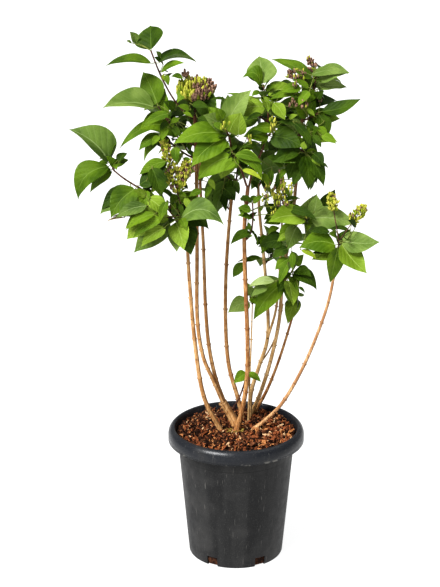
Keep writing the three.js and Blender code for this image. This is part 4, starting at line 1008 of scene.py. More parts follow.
def add_blade(batch, blade, random, top_slot, under_slot):
    v = LEAF_ROWS[:, None]
    s = LEAF_COLUMNS[None, :]
    wedge = random()
    w = (HEART_OUTLINE * (1 - wedge) + WEDGE_OUTLINE * wedge)[:, None]
    base, control, tip, side = (np.array(p) for p in (blade.base, blade.control, blade.tip, blade.side))
    spine = bow(base, control, tip, v[:, :, None])
    way = bow_way(base, control, tip, v[:, :, None])
    way = way / np.linalg.norm(way, axis=2, keepdims=True)
    normal = np.cross(side[None, None, :], way)
    half, length = blade.half, blade.length
    reach = np.abs(s) * w
    fold = blade.fold
    if fold is None:
        least, more = BEND["fold"]
        fold = LEAF["fold"] * (least + more * random() ** BEND["fold_power"])
    curl = BEND["curl"] * random()
    wave = (BEND["wave"][0] + BEND["wave"][1] * random()) * half
    phase = random() * BEND["most_phase"]
    twist = (random() - 0.5) * BEND["twist"]
    ripple = np.sin(v * BEND["ripples"] + phase + np.sign(s) * BEND["uneven_sides"])
    lift = half * (fold * reach - curl * reach ** 2)
    lift = lift + wave * ripple * np.abs(s) ** 2 * np.minimum(w * 2, 1)
    lift = lift + twist * half * s * w * v
    lift = lift - length * BEND["hook"] * np.clip(v - BEND["hook_from"], 0, 1) ** BEND["power"]
    near_stalk = np.clip(1 - v / BEND["lobe_to"], 0, 1) ** BEND["power"]
    back = -BEND["lobe"] * (1 - wedge) * length * near_stalk * (1 - (2 * np.abs(s) - BEND["lobe_inner"]) ** 2)
    outward = half * s * w
    points = (spine + side * outward[:, :, None] + normal * lift[:, :, None] + way * back[:, :, None])
    places = np.stack([0.5 + 0.5 * s * w, np.broadcast_to(v, outward.shape)], axis=2).reshape(-1, 2)
    batch.add(points.reshape(-1, 3), LEAF_TOP, places, top_slot)
    inner = BODY["thick"] * (1 - np.abs(s) ** 4) * np.minimum(v * BODY["from_stalk"], 1)
    inner = inner * np.minimum((1 - v) * BODY["from_tip"], 1)
    under = points - normal * inner[:, :, None]
    batch.add(under.reshape(-1, 3), LEAF_UNDER, places, under_slot)


# Materials: each is built by a surface, which has short calls for the nodes that recur
class Surface:
    def __init__(self, name):
        self.material = bpy.data.materials.new(name)
        self.material.use_nodes = True
        self.shader = self.material.node_tree.nodes["Principled BSDF"]
        self.place = self.put("ShaderNodeTexCoord").outputs

    def feed(self, socket, value):
        if isinstance(value, bpy.types.NodeSocket):
            self.material.node_tree.links.new(value, socket)
        elif socket.type == "RGBA":
            socket.default_value = (*value, 1)
        else:
            socket.default_value = value

    def put(self, kind, inputs=None, **settings):
        node = self.material.node_tree.nodes.new(kind)
        for key, value in settings.items():
            setattr(node, key, value)
        for key, value in (inputs or {}).items():
            self.feed(node.inputs[key], value)
        return node

    def maths(self, operation, *values):
        return self.put("ShaderNodeMath", dict(enumerate(values)), operation=operation).outputs[0]

    def times(self, a, b):
        return self.maths("MULTIPLY", a, b)

    def plus(self, a, b):
        return self.maths("ADD", a, b)

    def less(self, a, b):
        return self.maths("SUBTRACT", a, b)

    def noise(self, scale, detail=3, vector=None):
        where = self.place["Object"] if vector is None else vector
        inputs = {"Vector": where, "Scale": scale, "Detail": detail}
        return self.put("ShaderNodeTexNoise", inputs).outputs["Fac"]

    def upright_noise(self, squeeze, scale, detail):
        node = self.put("ShaderNodeMapping", {"Vector": self.place["Object"], "Scale": (1, 1, squeeze)})
        return self.noise(scale, detail, node.outputs[0])

    def split(self, vector):
        return self.put("ShaderNodeSeparateXYZ", {0: vector}).outputs

    def step(self, value, low, high):
        inputs = {"Value": value, "From Min": low, "From Max": high}
        return self.put("ShaderNodeMapRange", inputs, interpolation_type="SMOOTHSTEP").outputs["Result"]

    def spread(self, value, low, high):
        inputs = {"Value": value, "To Min": low, "To Max": high}
        return self.put("ShaderNodeMapRange", inputs).outputs["Result"]

    def share(self, value, low, high, most):
        return self.times(self.step(value, low, high), most)

    def blend(self, share, first, second):
        return self.put("ShaderNodeMix", {0: share, 6: first, 7: second}, data_type="RGBA").outputs[2]

    def finish(self, colour, roughness, specular, height=None, rise=0.0, strength=1.0):
        self.feed(self.shader.inputs["Base Color"], colour)
        self.feed(self.shader.inputs["Roughness"], roughness)
        self.shader.inputs["Specular IOR Level"].default_value = specular
        if height is not None:
            bump = self.put("ShaderNodeBump", {"Height": height, "Distance": rise, "Strength": strength})
            self.feed(self.shader.inputs["Normal"], bump.outputs["Normal"])
        return self.material


# Veins of a leaf: pairs of side veins, how they slant and bend, how far the two sides are out of step, and
# the widths and strengths of side veins and midrib
VEIN = dict(pairs=5.5, slant=0.6, bend=0.16, stagger=0.035, width=(0.1, 0.015), side_strength=0.18,
            midrib_reach=1.15, midrib_width=0.055, midrib_edge=(1.0, 0.4), strength=0.75, sunk=0.5)
LEAF_NET = dict(scale=26, width=0.12, rise=0.35)
LEAF_FINISH = dict(roughness=0.5, spread=(-0.07, 0.1), specular=0.12, rise=0.00042)
UNDERSIDE = dict(roughness=0.6, rise=-0.0006)


def leaf_material(name, dark, light, vein, roughness, rise):
    """Places are u across the blade, 0.5 on the midrib, and v from stalk to tip."""
    leaf = Surface(name)
    u, v, _ = leaf.split(leaf.place["UV"])
    centred = leaf.less(u, 0.5)
    away = leaf.times(leaf.maths("ABSOLUTE", centred), 2)
    bent = leaf.times(away, leaf.less(VEIN["slant"], leaf.times(away, VEIN["bend"])))
    stagger = leaf.times(leaf.maths("SIGN", centred), VEIN["stagger"])
    turns = leaf.times(leaf.plus(leaf.less(v, bent), stagger), VEIN["pairs"])
    from_vein = leaf.maths("PINGPONG", turns, 0.5)
    lateral = leaf.share(from_vein, *VEIN["width"], VEIN["side_strength"])
    midrib_width = leaf.times(leaf.less(VEIN["midrib_reach"], v), VEIN["midrib_width"])
    midrib = leaf.step(leaf.maths("DIVIDE", away, midrib_width), *VEIN["midrib_edge"])
    veins = leaf.maths("MAXIMUM", lateral, midrib)
    patch = leaf.noise(scale=22)
    fine = leaf.noise(scale=260, detail=2)
    flesh = leaf.blend(leaf.step(patch, 0.32, 0.68), dark, light)
    speckled = leaf.blend(leaf.step(fine, 0.5, 0.75), flesh, dark)
    tinted = leaf.blend(leaf.times(fine, 0.5), flesh, speckled)
    colour = leaf.blend(leaf.times(veins, VEIN["strength"]), tinted, vein)
    net_inputs = {"Vector": leaf.place["UV"], "Scale": LEAF_NET["scale"]}
    cells = leaf.put("ShaderNodeTexVoronoi", net_inputs, feature="DISTANCE_TO_EDGE")
    quilt = leaf.step(from_vein, 0.0, 0.5)
    net = leaf.share(cells.outputs["Distance"], 0.0, LEAF_NET["width"], LEAF_NET["rise"])
    height = leaf.less(leaf.plus(quilt, net), leaf.times(veins, VEIN["sunk"]))
    low, high = LEAF_FINISH["spread"]
    gloss = leaf.spread(patch, roughness + low, roughness + high)
    return leaf.finish(colour, gloss, LEAF_FINISH["specular"], height, rise)


# Dark and light green and vein colour of each spray's leaves. Only m, the leaves' own mid green, and n, a
# browned leaf, are plain colours; the rest are copies of the green with light and shade painted in: b and p
# painted light, d and k painted shade, g and h a painted sheen that reflects the bright surroundings, and y
# the painted yellow glow of light through a blade
LEAF_TINTS_WITH_PAINTED_LIGHT = {
    "b": ((0.12, 0.19, 0.012), (0.215, 0.315, 0.034), (0.31, 0.4, 0.1)),
    "m": ((0.05, 0.102, 0.002), (0.12, 0.2, 0.009), (0.2, 0.29, 0.05)),
    "d": ((0.017, 0.04, 0.001), (0.046, 0.088, 0.003), (0.085, 0.145, 0.018)),
    "y": ((0.18, 0.25, 0.012), (0.29, 0.36, 0.03), (0.37, 0.43, 0.1)),
    "g": ((0.085, 0.14, 0.022), (0.17, 0.24, 0.055), (0.25, 0.32, 0.12)),
    "h": ((0.05, 0.09, 0.014), (0.118, 0.185, 0.034), (0.25, 0.32, 0.13)),
    "n": ((0.16, 0.11, 0.04), (0.34, 0.27, 0.12), (0.4, 0.33, 0.18)),
    "k": ((0.033, 0.07, 0.0015), (0.082, 0.142, 0.006), (0.14, 0.21, 0.035)),
    "p": ((0.19, 0.25, 0.07), (0.32, 0.4, 0.16), (0.42, 0.5, 0.28)),
}
UNDER_TINTS = ((0.085, 0.15, 0.02), (0.14, 0.215, 0.045), (0.22, 0.3, 0.1))
leaf_materials = [leaf_material(f"leaf_{letter}", *tints, LEAF_FINISH["roughness"], LEAF_FINISH["rise"])
                  for letter, tints in LEAF_TINTS_WITH_PAINTED_LIGHT.items()]
under_material = leaf_material("leaf_under", *UNDER_TINTS, UNDERSIDE["roughness"], UNDERSIDE["rise"])
LEAF_SLOT = {letter: i for i, letter in enumerate(LEAF_TINTS_WITH_PAINTED_LIGHT)}
UNDER_SLOT = len(LEAF_TINTS_WITH_PAINTED_LIGHT)

# The bark's streaks, patches, pale pores, a painted shade on one side (by the sine of the angle round the
# stem), the rings at the nodes, and the young purple-brown bark of the top
BARK = dict(pore=(0.5, 0.38, 0.24), pore_scale=190, pore_edge=(0.26, 0.16), pore_strength=0.5, pore_rise=0.4,
            painted_shade_side=(0.25, 0.85, 0.55), ring=(0.06, 0.0, 0.28), top=(0.12, 0.055, 0.035), uneven_top=0.16,
            roughness=(0.5, 0.8), specular=0.15, rise=0.0007)


def bark(name, dark, mid, light, top_from, top_to):
    """Bark whose v counts the nodes along a stem, and which turns purple-brown with height."""
    stem = Surface(name)
    streaks = stem.upright_noise(squeeze=0.12, scale=330, detail=4)
    patches = stem.noise(scale=26)
    grain = stem.blend(stem.step(streaks, 0.38, 0.62), mid, light)
    body = stem.blend(stem.step(patches, 0.42, 0.66), grain, mid)
    pores = stem.put("ShaderNodeTexVoronoi", {"Vector": stem.place["Object"], "Scale": BARK["pore_scale"]})
    pore = stem.step(pores.outputs["Distance"], *BARK["pore_edge"])
    colour = stem.blend(stem.times(pore, BARK["pore_strength"]), body, BARK["pore"])
    u, v, _ = stem.split(stem.place["UV"])
    round_stem = stem.maths("SINE", stem.times(u, FULL_TURN))
    # Painted shade: one side of every stem, by the sine of the angle round it, is blended towards the dark
    # colour
    colour = stem.blend(stem.share(round_stem, *BARK["painted_shade_side"]), colour, dark)
    from_node = stem.maths("PINGPONG", v, 0.5)
    colour = stem.blend(stem.share(from_node, *BARK["ring"]), colour, dark)
    height = stem.plus(stem.split(stem.place["Object"])[2], stem.times(patches, BARK["uneven_top"]))
    top = stem.blend(stem.step(streaks, 0.4, 0.62), dark, BARK["top"])
    colour = stem.blend(stem.step(height, top_from, top_to), colour, top)
    relief = stem.plus(streaks, stem.times(pore, BARK["pore_rise"]))
    gloss = stem.spread(streaks, *BARK["roughness"])
    return stem.finish(colour, gloss, BARK["specular"], relief, BARK["rise"])


def bits(name, dark, light, scale, roughness, rise=0.001):
    """Broken bark, moss or buds: two colours by noise, with a rough relief."""
    bit = Surface(name)
    coarse = bit.noise(scale, detail=4)
    fine = bit.noise(scale * 7)
    both = bit.plus(bit.times(coarse, 0.65), bit.times(fine, 0.35))
    colour = bit.blend(bit.step(both, 0.38, 0.62), dark, light)
    return bit.finish(colour, roughness, BITS_SPECULAR, both, rise)


# Heights in metres of the rim's lower edge and of a line left by the mould
RIM_FOOT = (POT["height"] - POT["drop"]) * MM
MOULDING = 0.264
PLASTIC = dict(dark=(0.0052, 0.0053, 0.0057), light=(0.0145, 0.0145, 0.0145), rim=(0.011, 0.0125, 0.016),
               dust=(0.036, 0.035, 0.034), grain=(0.1, 0.098, 0.092), scratch=(0.13, 0.125, 0.115),
               scuff=(0.16, 0.155, 0.14), line=(0.003, 0.003, 0.003), line_strength=0.6,
               rim_edge=0.001, rim_scuff=0.006, line_width=0.0016, roughness=0.36, uneven=0.3, smooth_rim=0.2,
               specular=0.28, rise=0.0005, strength=0.7, grain_rise=0.35)


def worn_plastic(name):
    """Charcoal plastic: upright bands, dust, scratches, a bluer smoother rim and a moulding line below it."""
    plastic = Surface(name)
    height = plastic.split(plastic.place["Object"])["Z"]

    def ring(middle, half):
        away = plastic.maths("ABSOLUTE", plastic.less(height, middle))
        return plastic.less(1.0, plastic.step(away, half * 0.5, half))

    def add(share, colour, paint):
        return plastic.blend(share, colour, PLASTIC[paint])

    dust = plastic.noise(scale=16, detail=6)
    scuffs = plastic.noise(scale=55, detail=5)
    grain = plastic.noise(scale=620, detail=2)
    bands = plastic.upright_noise(squeeze=0.05, scale=30, detail=2)
    scratches = plastic.upright_noise(squeeze=0.035, scale=330, detail=1)
    rim = plastic.step(height, RIM_FOOT - PLASTIC["rim_edge"], RIM_FOOT + PLASTIC["rim_edge"])
    colour = add(plastic.step(bands, 0.36, 0.64), PLASTIC["dark"], "light")
    colour = add(rim, colour, "rim")
    colour = add(plastic.share(dust, 0.48, 0.72, 0.5), colour, "dust")
    colour = add(plastic.share(grain, 0.56, 0.72, 0.3), colour, "grain")
    colour = add(plastic.share(scratches, 0.68, 0.76, 0.45), colour, "scratch")
    edge = plastic.times(ring(RIM_FOOT, PLASTIC["rim_scuff"]), plastic.share(scuffs, 0.5, 0.62, 0.8))
    colour = add(edge, colour, "scuff")
    line = plastic.times(ring(MOULDING, PLASTIC["line_width"]), PLASTIC["line_strength"])
    colour = add(line, colour, "line")
    relief = plastic.plus(scuffs, plastic.times(grain, PLASTIC["grain_rise"]))
    rough = plastic.plus(plastic.times(scuffs, PLASTIC["uneven"]), PLASTIC["roughness"])
    rough = plastic.less(rough, plastic.times(rim, PLASTIC["smooth_rim"]))
    return plastic.finish(colour, rough, PLASTIC["specular"], relief, PLASTIC["rise"], PLASTIC["strength"])


# Dark, middle and light of each bark, and the heights in metres between which it turns to the top's
BARKS = {
    "bark_tan": ((0.07, 0.03, 0.012), (0.34, 0.165, 0.058), (0.6, 0.37, 0.17), 1.0, 1.16),
    "bark_red": ((0.055, 0.022, 0.01), (0.25, 0.105, 0.034), (0.5, 0.275, 0.11), 0.86, 1.04),
    "bark_pale": ((0.1, 0.055, 0.022), (0.36, 0.22, 0.09), (0.62, 0.43, 0.22), 0.9, 1.06),
    "bark_arching": ((0.08, 0.035, 0.018), (0.32, 0.16, 0.07), (0.58, 0.35, 0.17), 0.84, 1.04),
}
TAN, RED, PALE, ARCHING = range(len(BARKS))
BARK_SLOT = {"stem_k": ARCHING, "stem_e": RED, "bough_e_left": RED, "bough_e_right": RED, "stem_g": PALE,
             "bough_g": PALE, "stem_j": RED, "stem_f": PALE, "bough_g_low": PALE, "stem_h": PALE,
             "bough_far_left": RED}
bark_materials = [bark(name, *look) for name, look in BARKS.items()]
# Dark and light colour, scale of the noise, roughness and relief in metres
BITS_SPECULAR = 0.16
TWIG_BITS = {
    "twig": ((0.035, 0.017, 0.014), (0.13, 0.06, 0.035), 90, 0.7),
    "petiole": ((0.09, 0.12, 0.02), (0.16, 0.18, 0.04), 60, 0.55),
}
BUD_BITS = {
    "bud_yellow": ((0.25, 0.27, 0.02), (0.5, 0.48, 0.09), 160, 0.6, 0.0004),
    "bud_green": ((0.13, 0.19, 0.01), (0.3, 0.34, 0.03), 120, 0.6, 0.0004),
    "bud_brown": ((0.04, 0.018, 0.012), (0.36, 0.22, 0.15), 190, 0.6, 0.0004),
}
MULCH_BITS = {
    "chip_red": ((0.095, 0.028, 0.01), (0.3, 0.1, 0.038), 150, 0.95, 0.0012),
    "chip_orange": ((0.26, 0.1, 0.032), (0.52, 0.24, 0.095), 150, 0.95, 0.0012),
    "chip_dark": ((0.006, 0.002, 0.001), (0.03, 0.01, 0.005), 150, 0.95, 0.0012),
    "chip_brown": ((0.055, 0.02, 0.009), (0.18, 0.07, 0.032), 150, 0.95, 0.0012),
    "chip_tan": ((0.34, 0.2, 0.1), (0.66, 0.45, 0.26), 150, 0.95, 0.0012),
    "moss": ((0.1, 0.075, 0.015), (0.33, 0.24, 0.06), 160, 0.95, 0.002),
}
SOIL_BITS = ((0.012, 0.005, 0.003), (0.07, 0.028, 0.013), 120, 0.95, 0.004)
WOODY, GREEN = range(len(TWIG_BITS))
YELLOW_BUD, GREEN_BUD, BROWN_BUD = range(len(BUD_BITS))
MOSS = len(MULCH_BITS) - 1


def bit_materials(table):
    return [bits(name, *look) for name, look in table.items()]


# Stems: swollen nodes with a pair of small buds at each, and a slightly ridged and uneven round
STEM = dict(step=4.5, fewest=10, nodes=(40, 52), sides=14, swell=0.09, swell_width=3, uneven=0.05,
            ridges=3, ridge=0.03, ridge_turn=31, rough=0.025, bud_turn=0.5,
            bud_root=0.9, bud_out=2.4, bud_up=3.2, bud_width=2.6, seed_step=31)
limb_batch = Batch()
twig_batch = Batch()
bud_batch = Batch()


def add_stem(limb, draw, slot):
    steps = max(STEM["fewest"], round(limb.length / STEM["step"]))
    spacing = limb.length / max(1, round(limb.length / mix(*STEM["nodes"], draw())))
    sides = STEM["sides"]
    points = []
    places = []
    for i in range(steps + 1):
        u = i / steps
        side, other = across(limb.way(u), Y_AXIS)
        along = u * limb.length
        from_node = abs((along + spacing / 2) % spacing - spacing / 2)
        node_swell = STEM["swell"] * math.exp(-(from_node / STEM["swell_width"]) ** 2)
        centre, radius = limb.curve(u), limb.radius(u) * (1 + node_swell + STEM["uneven"] * (draw() - 0.5))
        for k in range(sides):
            a = FULL_TURN * k / sides
            ridge = STEM["ridge"] * math.sin(STEM["ridges"] * a + along / STEM["ridge_turn"])
            rough = radius * (1 + ridge + STEM["rough"] * (draw() - 0.5))
            points.append(centre + side * (rough * math.sin(a)) + other * (rough * math.cos(a)))
            places.append((k / sides, along / spacing))
    limb_batch.add(points, closed_band(steps + 1, sides), places, slot)
    count = round(limb.length / spacing)
    for n in range(1, count):
        u = n / count
        tangent = limb.way(u)
        out = around(*across(tangent, Y_AXIS), n * math.pi / 2 + STEM["bud_turn"] * draw())
        for way in (out, -out):
            root = limb.curve(u) + way * (limb.radius(u) * STEM["bud_root"])
            end = root + way * STEM["bud_out"] + tangent * STEM["bud_up"]
            spindle(limb_batch, root, end, STEM["bud_width"], 5, slot)


for limb in limbs.values():
    draw = seeded(len(limb.name) * STEM["seed_step"] + round(limb.length))
    add_stem(limb, draw, BARK_SLOT.get(limb.name, TAN))

# Twigs, fuller than in the source and swollen at their nodes, with petioles and leaves
FINE_TWIG = dict(fullness=1.3, steps=14, sides=8, swell=0.3, swell_width=0.03)
FINE_PETIOLE = dict(radius=0.95, taper=(1.25, 0.8), steps=4, sides=5, curve=0.5)
leaf_batches = {"left": Batch(), "centre": Batch(), "right": Batch(), "back": Batch()}
LEAF_SEED_STEP = 17
# The masses of the front are told apart by how far to the right they lie
LEFT_TO = -70
RIGHT_FROM = 95


def region_of(mass):
    if mass.name.startswith("back"):
        return "back"
    x = mass.heart.x
    return "left" if x < LEFT_TO else ("centre" if x < RIGHT_FROM else "right")


def add_twig(twig, nodes):
    rings = []
    for k in range(FINE_TWIG["steps"] + 1):
        u = k / FINE_TWIG["steps"]
        near = max([math.exp(-((u - at) / FINE_TWIG["swell_width"]) ** 2) for at in nodes] or [0])
        radius = mix(*twig.radii, u) * (1 + FINE_TWIG["swell"] * near) * FINE_TWIG["fullness"]
        rings.append(twig.ring(u, radius))
    tube(twig_batch, rings, FINE_TWIG["sides"], WOODY if twig.radii[0] > TWIG["tip"] else GREEN)


def add_petiole(blade):
    node, base = blade.node, blade.base
    way = (blade.control - base).normalized()
    control = base - way * ((base - node).length * FINE_PETIOLE["curve"])
    rings = []
    for k in range(FINE_PETIOLE["steps"] + 1):
        u = k / FINE_PETIOLE["steps"]
        side, other = across_level(bow_way(node, control, base, u).normalized())
        radius = FINE_PETIOLE["radius"] * mix(*FINE_PETIOLE["taper"], u)
        rings.append((bow(node, control, base, u), side, other, radius))
    tube(twig_batch, rings, FINE_PETIOLE["sides"], GREEN)


for mass in masses:
    draw = seeded(len(mass.name) * LEAF_SEED_STEP + round(abs(mass.heart.z)))
    for twig, nodes in mass.twigs:
        add_twig(twig, nodes)
    for blade in mass.leaves:
        add_petiole(blade)
        add_blade(leaf_batches[region_of(mass)], blade, draw, LEAF_SLOT[blade.tint], UNDER_SLOT)

# Bud clusters. A clump's buds stand up together at the end of a branchlet.
BUD_TURN = math.radians(137.5)
CLUMP = dict(lean=(0.2, 0.4), apart=0.9, uneven=0.5, rise=0.3, length=(1.5, 2.3), width=(0.8, 1))
STALK = dict(sides=4, head=1.6, spike=1.1)


def add_stalk(start, end, width):
    spindle(twig_batch, start, end, width, STALK["sides"], GREEN)


def add_bud(root, way, length, width, slot):
    spindle(bud_batch, root, root + way * length, width, 6, slot, LONG_BUD_OUTLINE)


def shade_of(brown, yellow_share, draw):
    return BROWN_BUD if brown else (YELLOW_BUD if draw() < yellow_share else GREEN_BUD)


def add_clump(heart, way, count, size, slot, draw):
    side, other = across_level(way)
    for b in range(count):
        spread = CLUMP["lean"][0] + CLUMP["lean"][1] * (b / count)
        lean = around(side, other, b * BUD_TURN + draw()) * spread
        root = heart + lean * (size * CLUMP["apart"]) + way * (size * CLUMP["uneven"] * (draw() - 0.5))
        bud_way = (way + lean + UP * CLUMP["rise"]).normalized()
        length = size * mix(*CLUMP["length"], draw())
        add_bud(root, bud_way, length, size * mix(*CLUMP["width"], draw()), slot)


# The thick head: buds on stalks that fan out from a heart below it, browner to the right, with one spire
# of buds beside it, given by its way to the left of the heart and above it
HEAD = dict(heart=66, buds=300, fan=math.radians(60), reach=(62, 52), inner=0.45, fill=0.45, uneven=9,
            upward=1.3, stalk_from=0.35, length=(12, 22), width=(5.4, 7.4), brown=(-0.35, 0.9),
            odd_brown=0.12, yellow=0.68, spire=(25, 67), spire_buds=(5, 7.5))


def add_head(cluster, draw):
    heart = cluster.top - cluster.way * HEAD["heart"]
    for i in range(HEAD["buds"]):
        share = ((i + 0.5) / HEAD["buds"]) ** 0.5
        outward = around(cluster.side, cluster.other, i * BUD_TURN)
        fan = HEAD["fan"] * share
        ray = cluster.way * math.cos(fan) + outward * math.sin(fan)
        depth = mix(HEAD["inner"], 1, draw() ** HEAD["fill"])
        end = heart + ray * ((mix(*HEAD["reach"], share) - HEAD["uneven"] * draw()) * depth)
        way = (ray + cluster.way * HEAD["upward"]).normalized()
        add_stalk(heart + (end - heart) * HEAD["stalk_from"], end, STALK["head"])
        brown = mix(*HEAD["brown"], draw()) < outward.x * share * depth or draw() < HEAD["odd_brown"]
        shade = shade_of(brown, HEAD["yellow"], draw)
        add_bud(end, way, mix(*HEAD["length"], draw()), mix(*HEAD["width"], draw()), shade)
    left, above = HEAD["spire"]
    spire = heart + cluster.way * above - X_AXIS * left
    add_stalk(heart, spire, STALK["head"])
    add_clump(spire, cluster.way, *HEAD["spire_buds"], BROWN_BUD, draw)


# A slim cluster: branchlets round a stalk, each with its clump of small buds
SPIKE = dict(axis=(1.5, 0.8), axis_steps=6, sides=6, level_step=6.5, fewest=5, swell=(0.3, 0.9),
             level_to=0.96, branchlets=6, level_turn=0.8, jitter=0.6, spread=(0.4, 0.85), rise=0.7, sunk=2,
             clump_buds=3, clump=(3.6, 5), yellow=0.7, top_sunk=4, top_buds=(5, 4))
# How much of a slim cluster has browned and how much of it is bare, by mass
SPIKE_SHARES = {"foliage_top_right": (0.75, 0.5), "foliage_k_top": (0.05, 0.1)}
USUAL_SPIKE_SHARES = (0.16, 0)


def add_spike(cluster, draw):
    steps = SPIKE["axis_steps"]
    rings = []
    for k in range(steps + 1):
        centre = cluster.start.lerp(cluster.top, k / steps)
        rings.append((centre, cluster.side, cluster.other, mix(*SPIKE["axis"], k / steps)))
    tube(twig_batch, rings, SPIKE["sides"], WOODY)
    levels = max(SPIKE["fewest"], round((cluster.top - cluster.foot).length / SPIKE["level_step"]))
    brown_share, bare_share = SPIKE_SHARES.get(cluster.mass.name, USUAL_SPIKE_SHARES)
    for level in range(levels):
        at = (level + 0.5) / levels
        swell = math.sin(math.pi * mix(*SPIKE["swell"], at))
        heart = cluster.foot.lerp(cluster.top, at * SPIKE["level_to"])
        for i in range(SPIKE["branchlets"]):
            place = i + SPIKE["jitter"] * draw()
            turn = level * SPIKE["level_turn"] + place * FULL_TURN / SPIKE["branchlets"]
            if draw() < bare_share:
                continue
            outward = around(cluster.side, cluster.other, turn)
            spread = cluster.width / 2 * swell * mix(*SPIKE["spread"], draw())
            end = heart + outward * spread + cluster.way * (spread * SPIKE["rise"])
            add_stalk(heart, end, STALK["spike"])
            way = ((end - heart).normalized() + cluster.way).normalized()
            shade = shade_of(draw() < brown_share, SPIKE["yellow"], draw)
            size = mix(*SPIKE["clump"], draw())
            add_clump(end - way * SPIKE["sunk"], way, SPIKE["clump_buds"], size, shade, draw)
    top = cluster.top - cluster.way * SPIKE["top_sunk"]
    add_clump(top, cluster.way, *SPIKE["top_buds"], YELLOW_BUD, draw)


for cluster in clusters:
    (add_head if cluster.wide else add_spike)(cluster, cluster.mass.random)

# Buds that stand between the leaves: each spot a loose heap of them on its own stalk
HEAP = dict(fewest=4, per_bud=5, lean_out=0.012, lean=0.3, length=(6.5, 9.5), width=(3.4, 4.6), yellow=0.7)
for x, y, depth, wide, high, yellow in BUD_SPOTS:
    draw = seeded(round(x + y))
    foot = place_at(x, y + high / 2, depth)
    for _ in range(max(HEAP["fewest"], round(wide * high / HEAP["per_bud"]))):
        right, down = wide * (draw() - 0.5), high * (0.5 - draw())
        spot = place_at(x + right, y + down, depth + 2 * wide * (draw() - 0.5))
        way = (UP + (spot - foot) * HEAP["lean_out"] + Y_AXIS * (HEAP["lean"] * (draw() - 0.5))).normalized()
        add_stalk(foot, spot, STALK["spike"])
        shade = shade_of(draw() >= yellow, HEAP["yellow"], draw)
        add_bud(spot, way, mix(*HEAP["length"], draw()), mix(*HEAP["width"], draw()), shade)

# The pot: heights of the rings of its wall, and its profile from the axis out, over the rim and back in.
# The rim's rows are how far in from its widest and how far below its top.
WALL_HEIGHTS = (26, 30, 90, 160, 230, POT["neck_height"])
RIM_ROUND = ((0, 19), (0.6, 14), (2.2, 9.5), (4.8, 5.4), (8.2, 2.2), (12, 0))
MOUTH_ROUND = ((3, 0.6), (1, 2.4), (0, 6))
UNDER_RIM = dict(neck=(1, 9), inside=12)
FOOT_ROUND = ((3, 0), (1, 0.8), (0, 3))
SIDES = 144


def wall_rings(inset):
    slope = [(z - POT["floor"]) / (POT["neck_height"] - POT["floor"]) for z in WALL_HEIGHTS]
    return [(mix(POT["foot"], POT["neck"], share) + inset, z) for share, z in zip(slope, WALL_HEIGHTS)]


rim_inside = POT["rim"] - POT["wall"]
rim_foot = POT["height"] - POT["drop"]
PROFILE = [
    (0, 0), *((POT["foot"] - x, z) for x, z in FOOT_ROUND), *wall_rings(0),
    (POT["mouth"] - UNDER_RIM["neck"][0], POT["height"] - UNDER_RIM["neck"][1]),
    (rim_inside, POT["height"] - UNDER_RIM["inside"]), (rim_inside, rim_foot), (POT["rim"], rim_foot),
    *((POT["rim"] - x, POT["height"] - z) for x, z in RIM_ROUND),
    *((POT["mouth"] + x, POT["height"] - z) for x, z in MOUTH_ROUND),
    *reversed(wall_rings(-POT["wall"])), (POT["foot"] - POT["wall"], POT["floor"]), (0, POT["floor"]),
]


def lathe(profile, sides):
    points = []
    index = []
    for radius, z in profile:
        if radius == 0:
            index.append([len(points)] * sides)
            points.append((0, 0, z))
            continue
        index.append(list(range(len(points), len(points) + sides)))
        for i in range(sides):
            a = FULL_TURN * i / sides
            points.append((radius * math.sin(a), radius * math.cos(a), z))
    faces = []
    for low, high in zip(index, index[1:]):
        for i in range(sides):
            j = (i + 1) % sides
            corners = tuple(dict.fromkeys((low[j], low[i], high[i], high[j])))
            if len(corners) > 2:
                faces.append(corners)
    return points, faces


pot_batch = Batch()
pot_batch.add(*lathe(PROFILE, SIDES))
pot = pot_batch.build("pot_shell", [worn_plastic("plastic")])
for i in range(SLOT["count"]):
    bpy.ops.mesh.primitive_cube_add(size=1)
    cutter = bpy.context.object
    cutter.scale = (SLOT["width"] * MM, 2 * SLOT["depth"] * MM, 2 * SLOT["height"] * MM)
    a = SLOT["first_turn"] + i * FULL_TURN / SLOT["count"]
    cutter.rotation_euler = (0, 0, a)
    cutter.location = (math.sin(a) * POT["foot"] * MM, -math.cos(a) * POT["foot"] * MM, 0)
    bpy.context.view_layer.update()
    cut = pot.modifiers.new("slot", "BOOLEAN")
    cut.operation = "DIFFERENCE"
    cut.object = cutter
    cut.solver = "EXACT"
    bpy.context.view_layer.objects.active = pot
    bpy.ops.object.modifier_apply(modifier="slot")
    bpy.data.objects.remove(cutter)

# Mulch: broken bark in five colours, coarser to the right and to the front
CHIPS = dict(count=2200, spread=139.5, size=(2.5, 11), size_power=2.2, coarse=(0.85, 0.2), layers=8,
             sunk=0.35, broad=(0.4, 0.75), flat=(0.25, 0.5), shares=(0.3, 0.43, 0.73, 0.94, 1), tilt=0.9,
             seed=77)
# Where a chip's rings lie along it, with their shares of its width, and how uneven they are
CHIP_RINGS = ((-1, 0.5), (-0.2, 1), (0.55, 0.85), (1, 0.35))
CHIP_SIDES = 5
CHIP_UNEVEN = (0.65, 1.2)
CHIP_STAGGER = 0.25
MOSS_PATCH = dict(count=130, middle=(-6, -14, SOIL["top"] + 2), reach=(24, 11, 3), size=(2.6, 1.6, 1.2))
chip_batch = Batch()


def add_chip(centre, way, size, broad, flat, slot, draw):
    side, other = across_level(way)
    points = []
    for at, share in CHIP_RINGS:
        for k in range(CHIP_SIDES):
            a = FULL_TURN * k / CHIP_SIDES
            rough = share * mix(*CHIP_UNEVEN, draw())
            points.append(centre + way * (size * (at + CHIP_STAGGER * (draw() - 0.5)))
                          + side * (broad * rough * math.sin(a)) + other * (flat * rough * math.cos(a)))
    chip_batch.add(points, closed_band(len(CHIP_RINGS), CHIP_SIDES), None, slot)


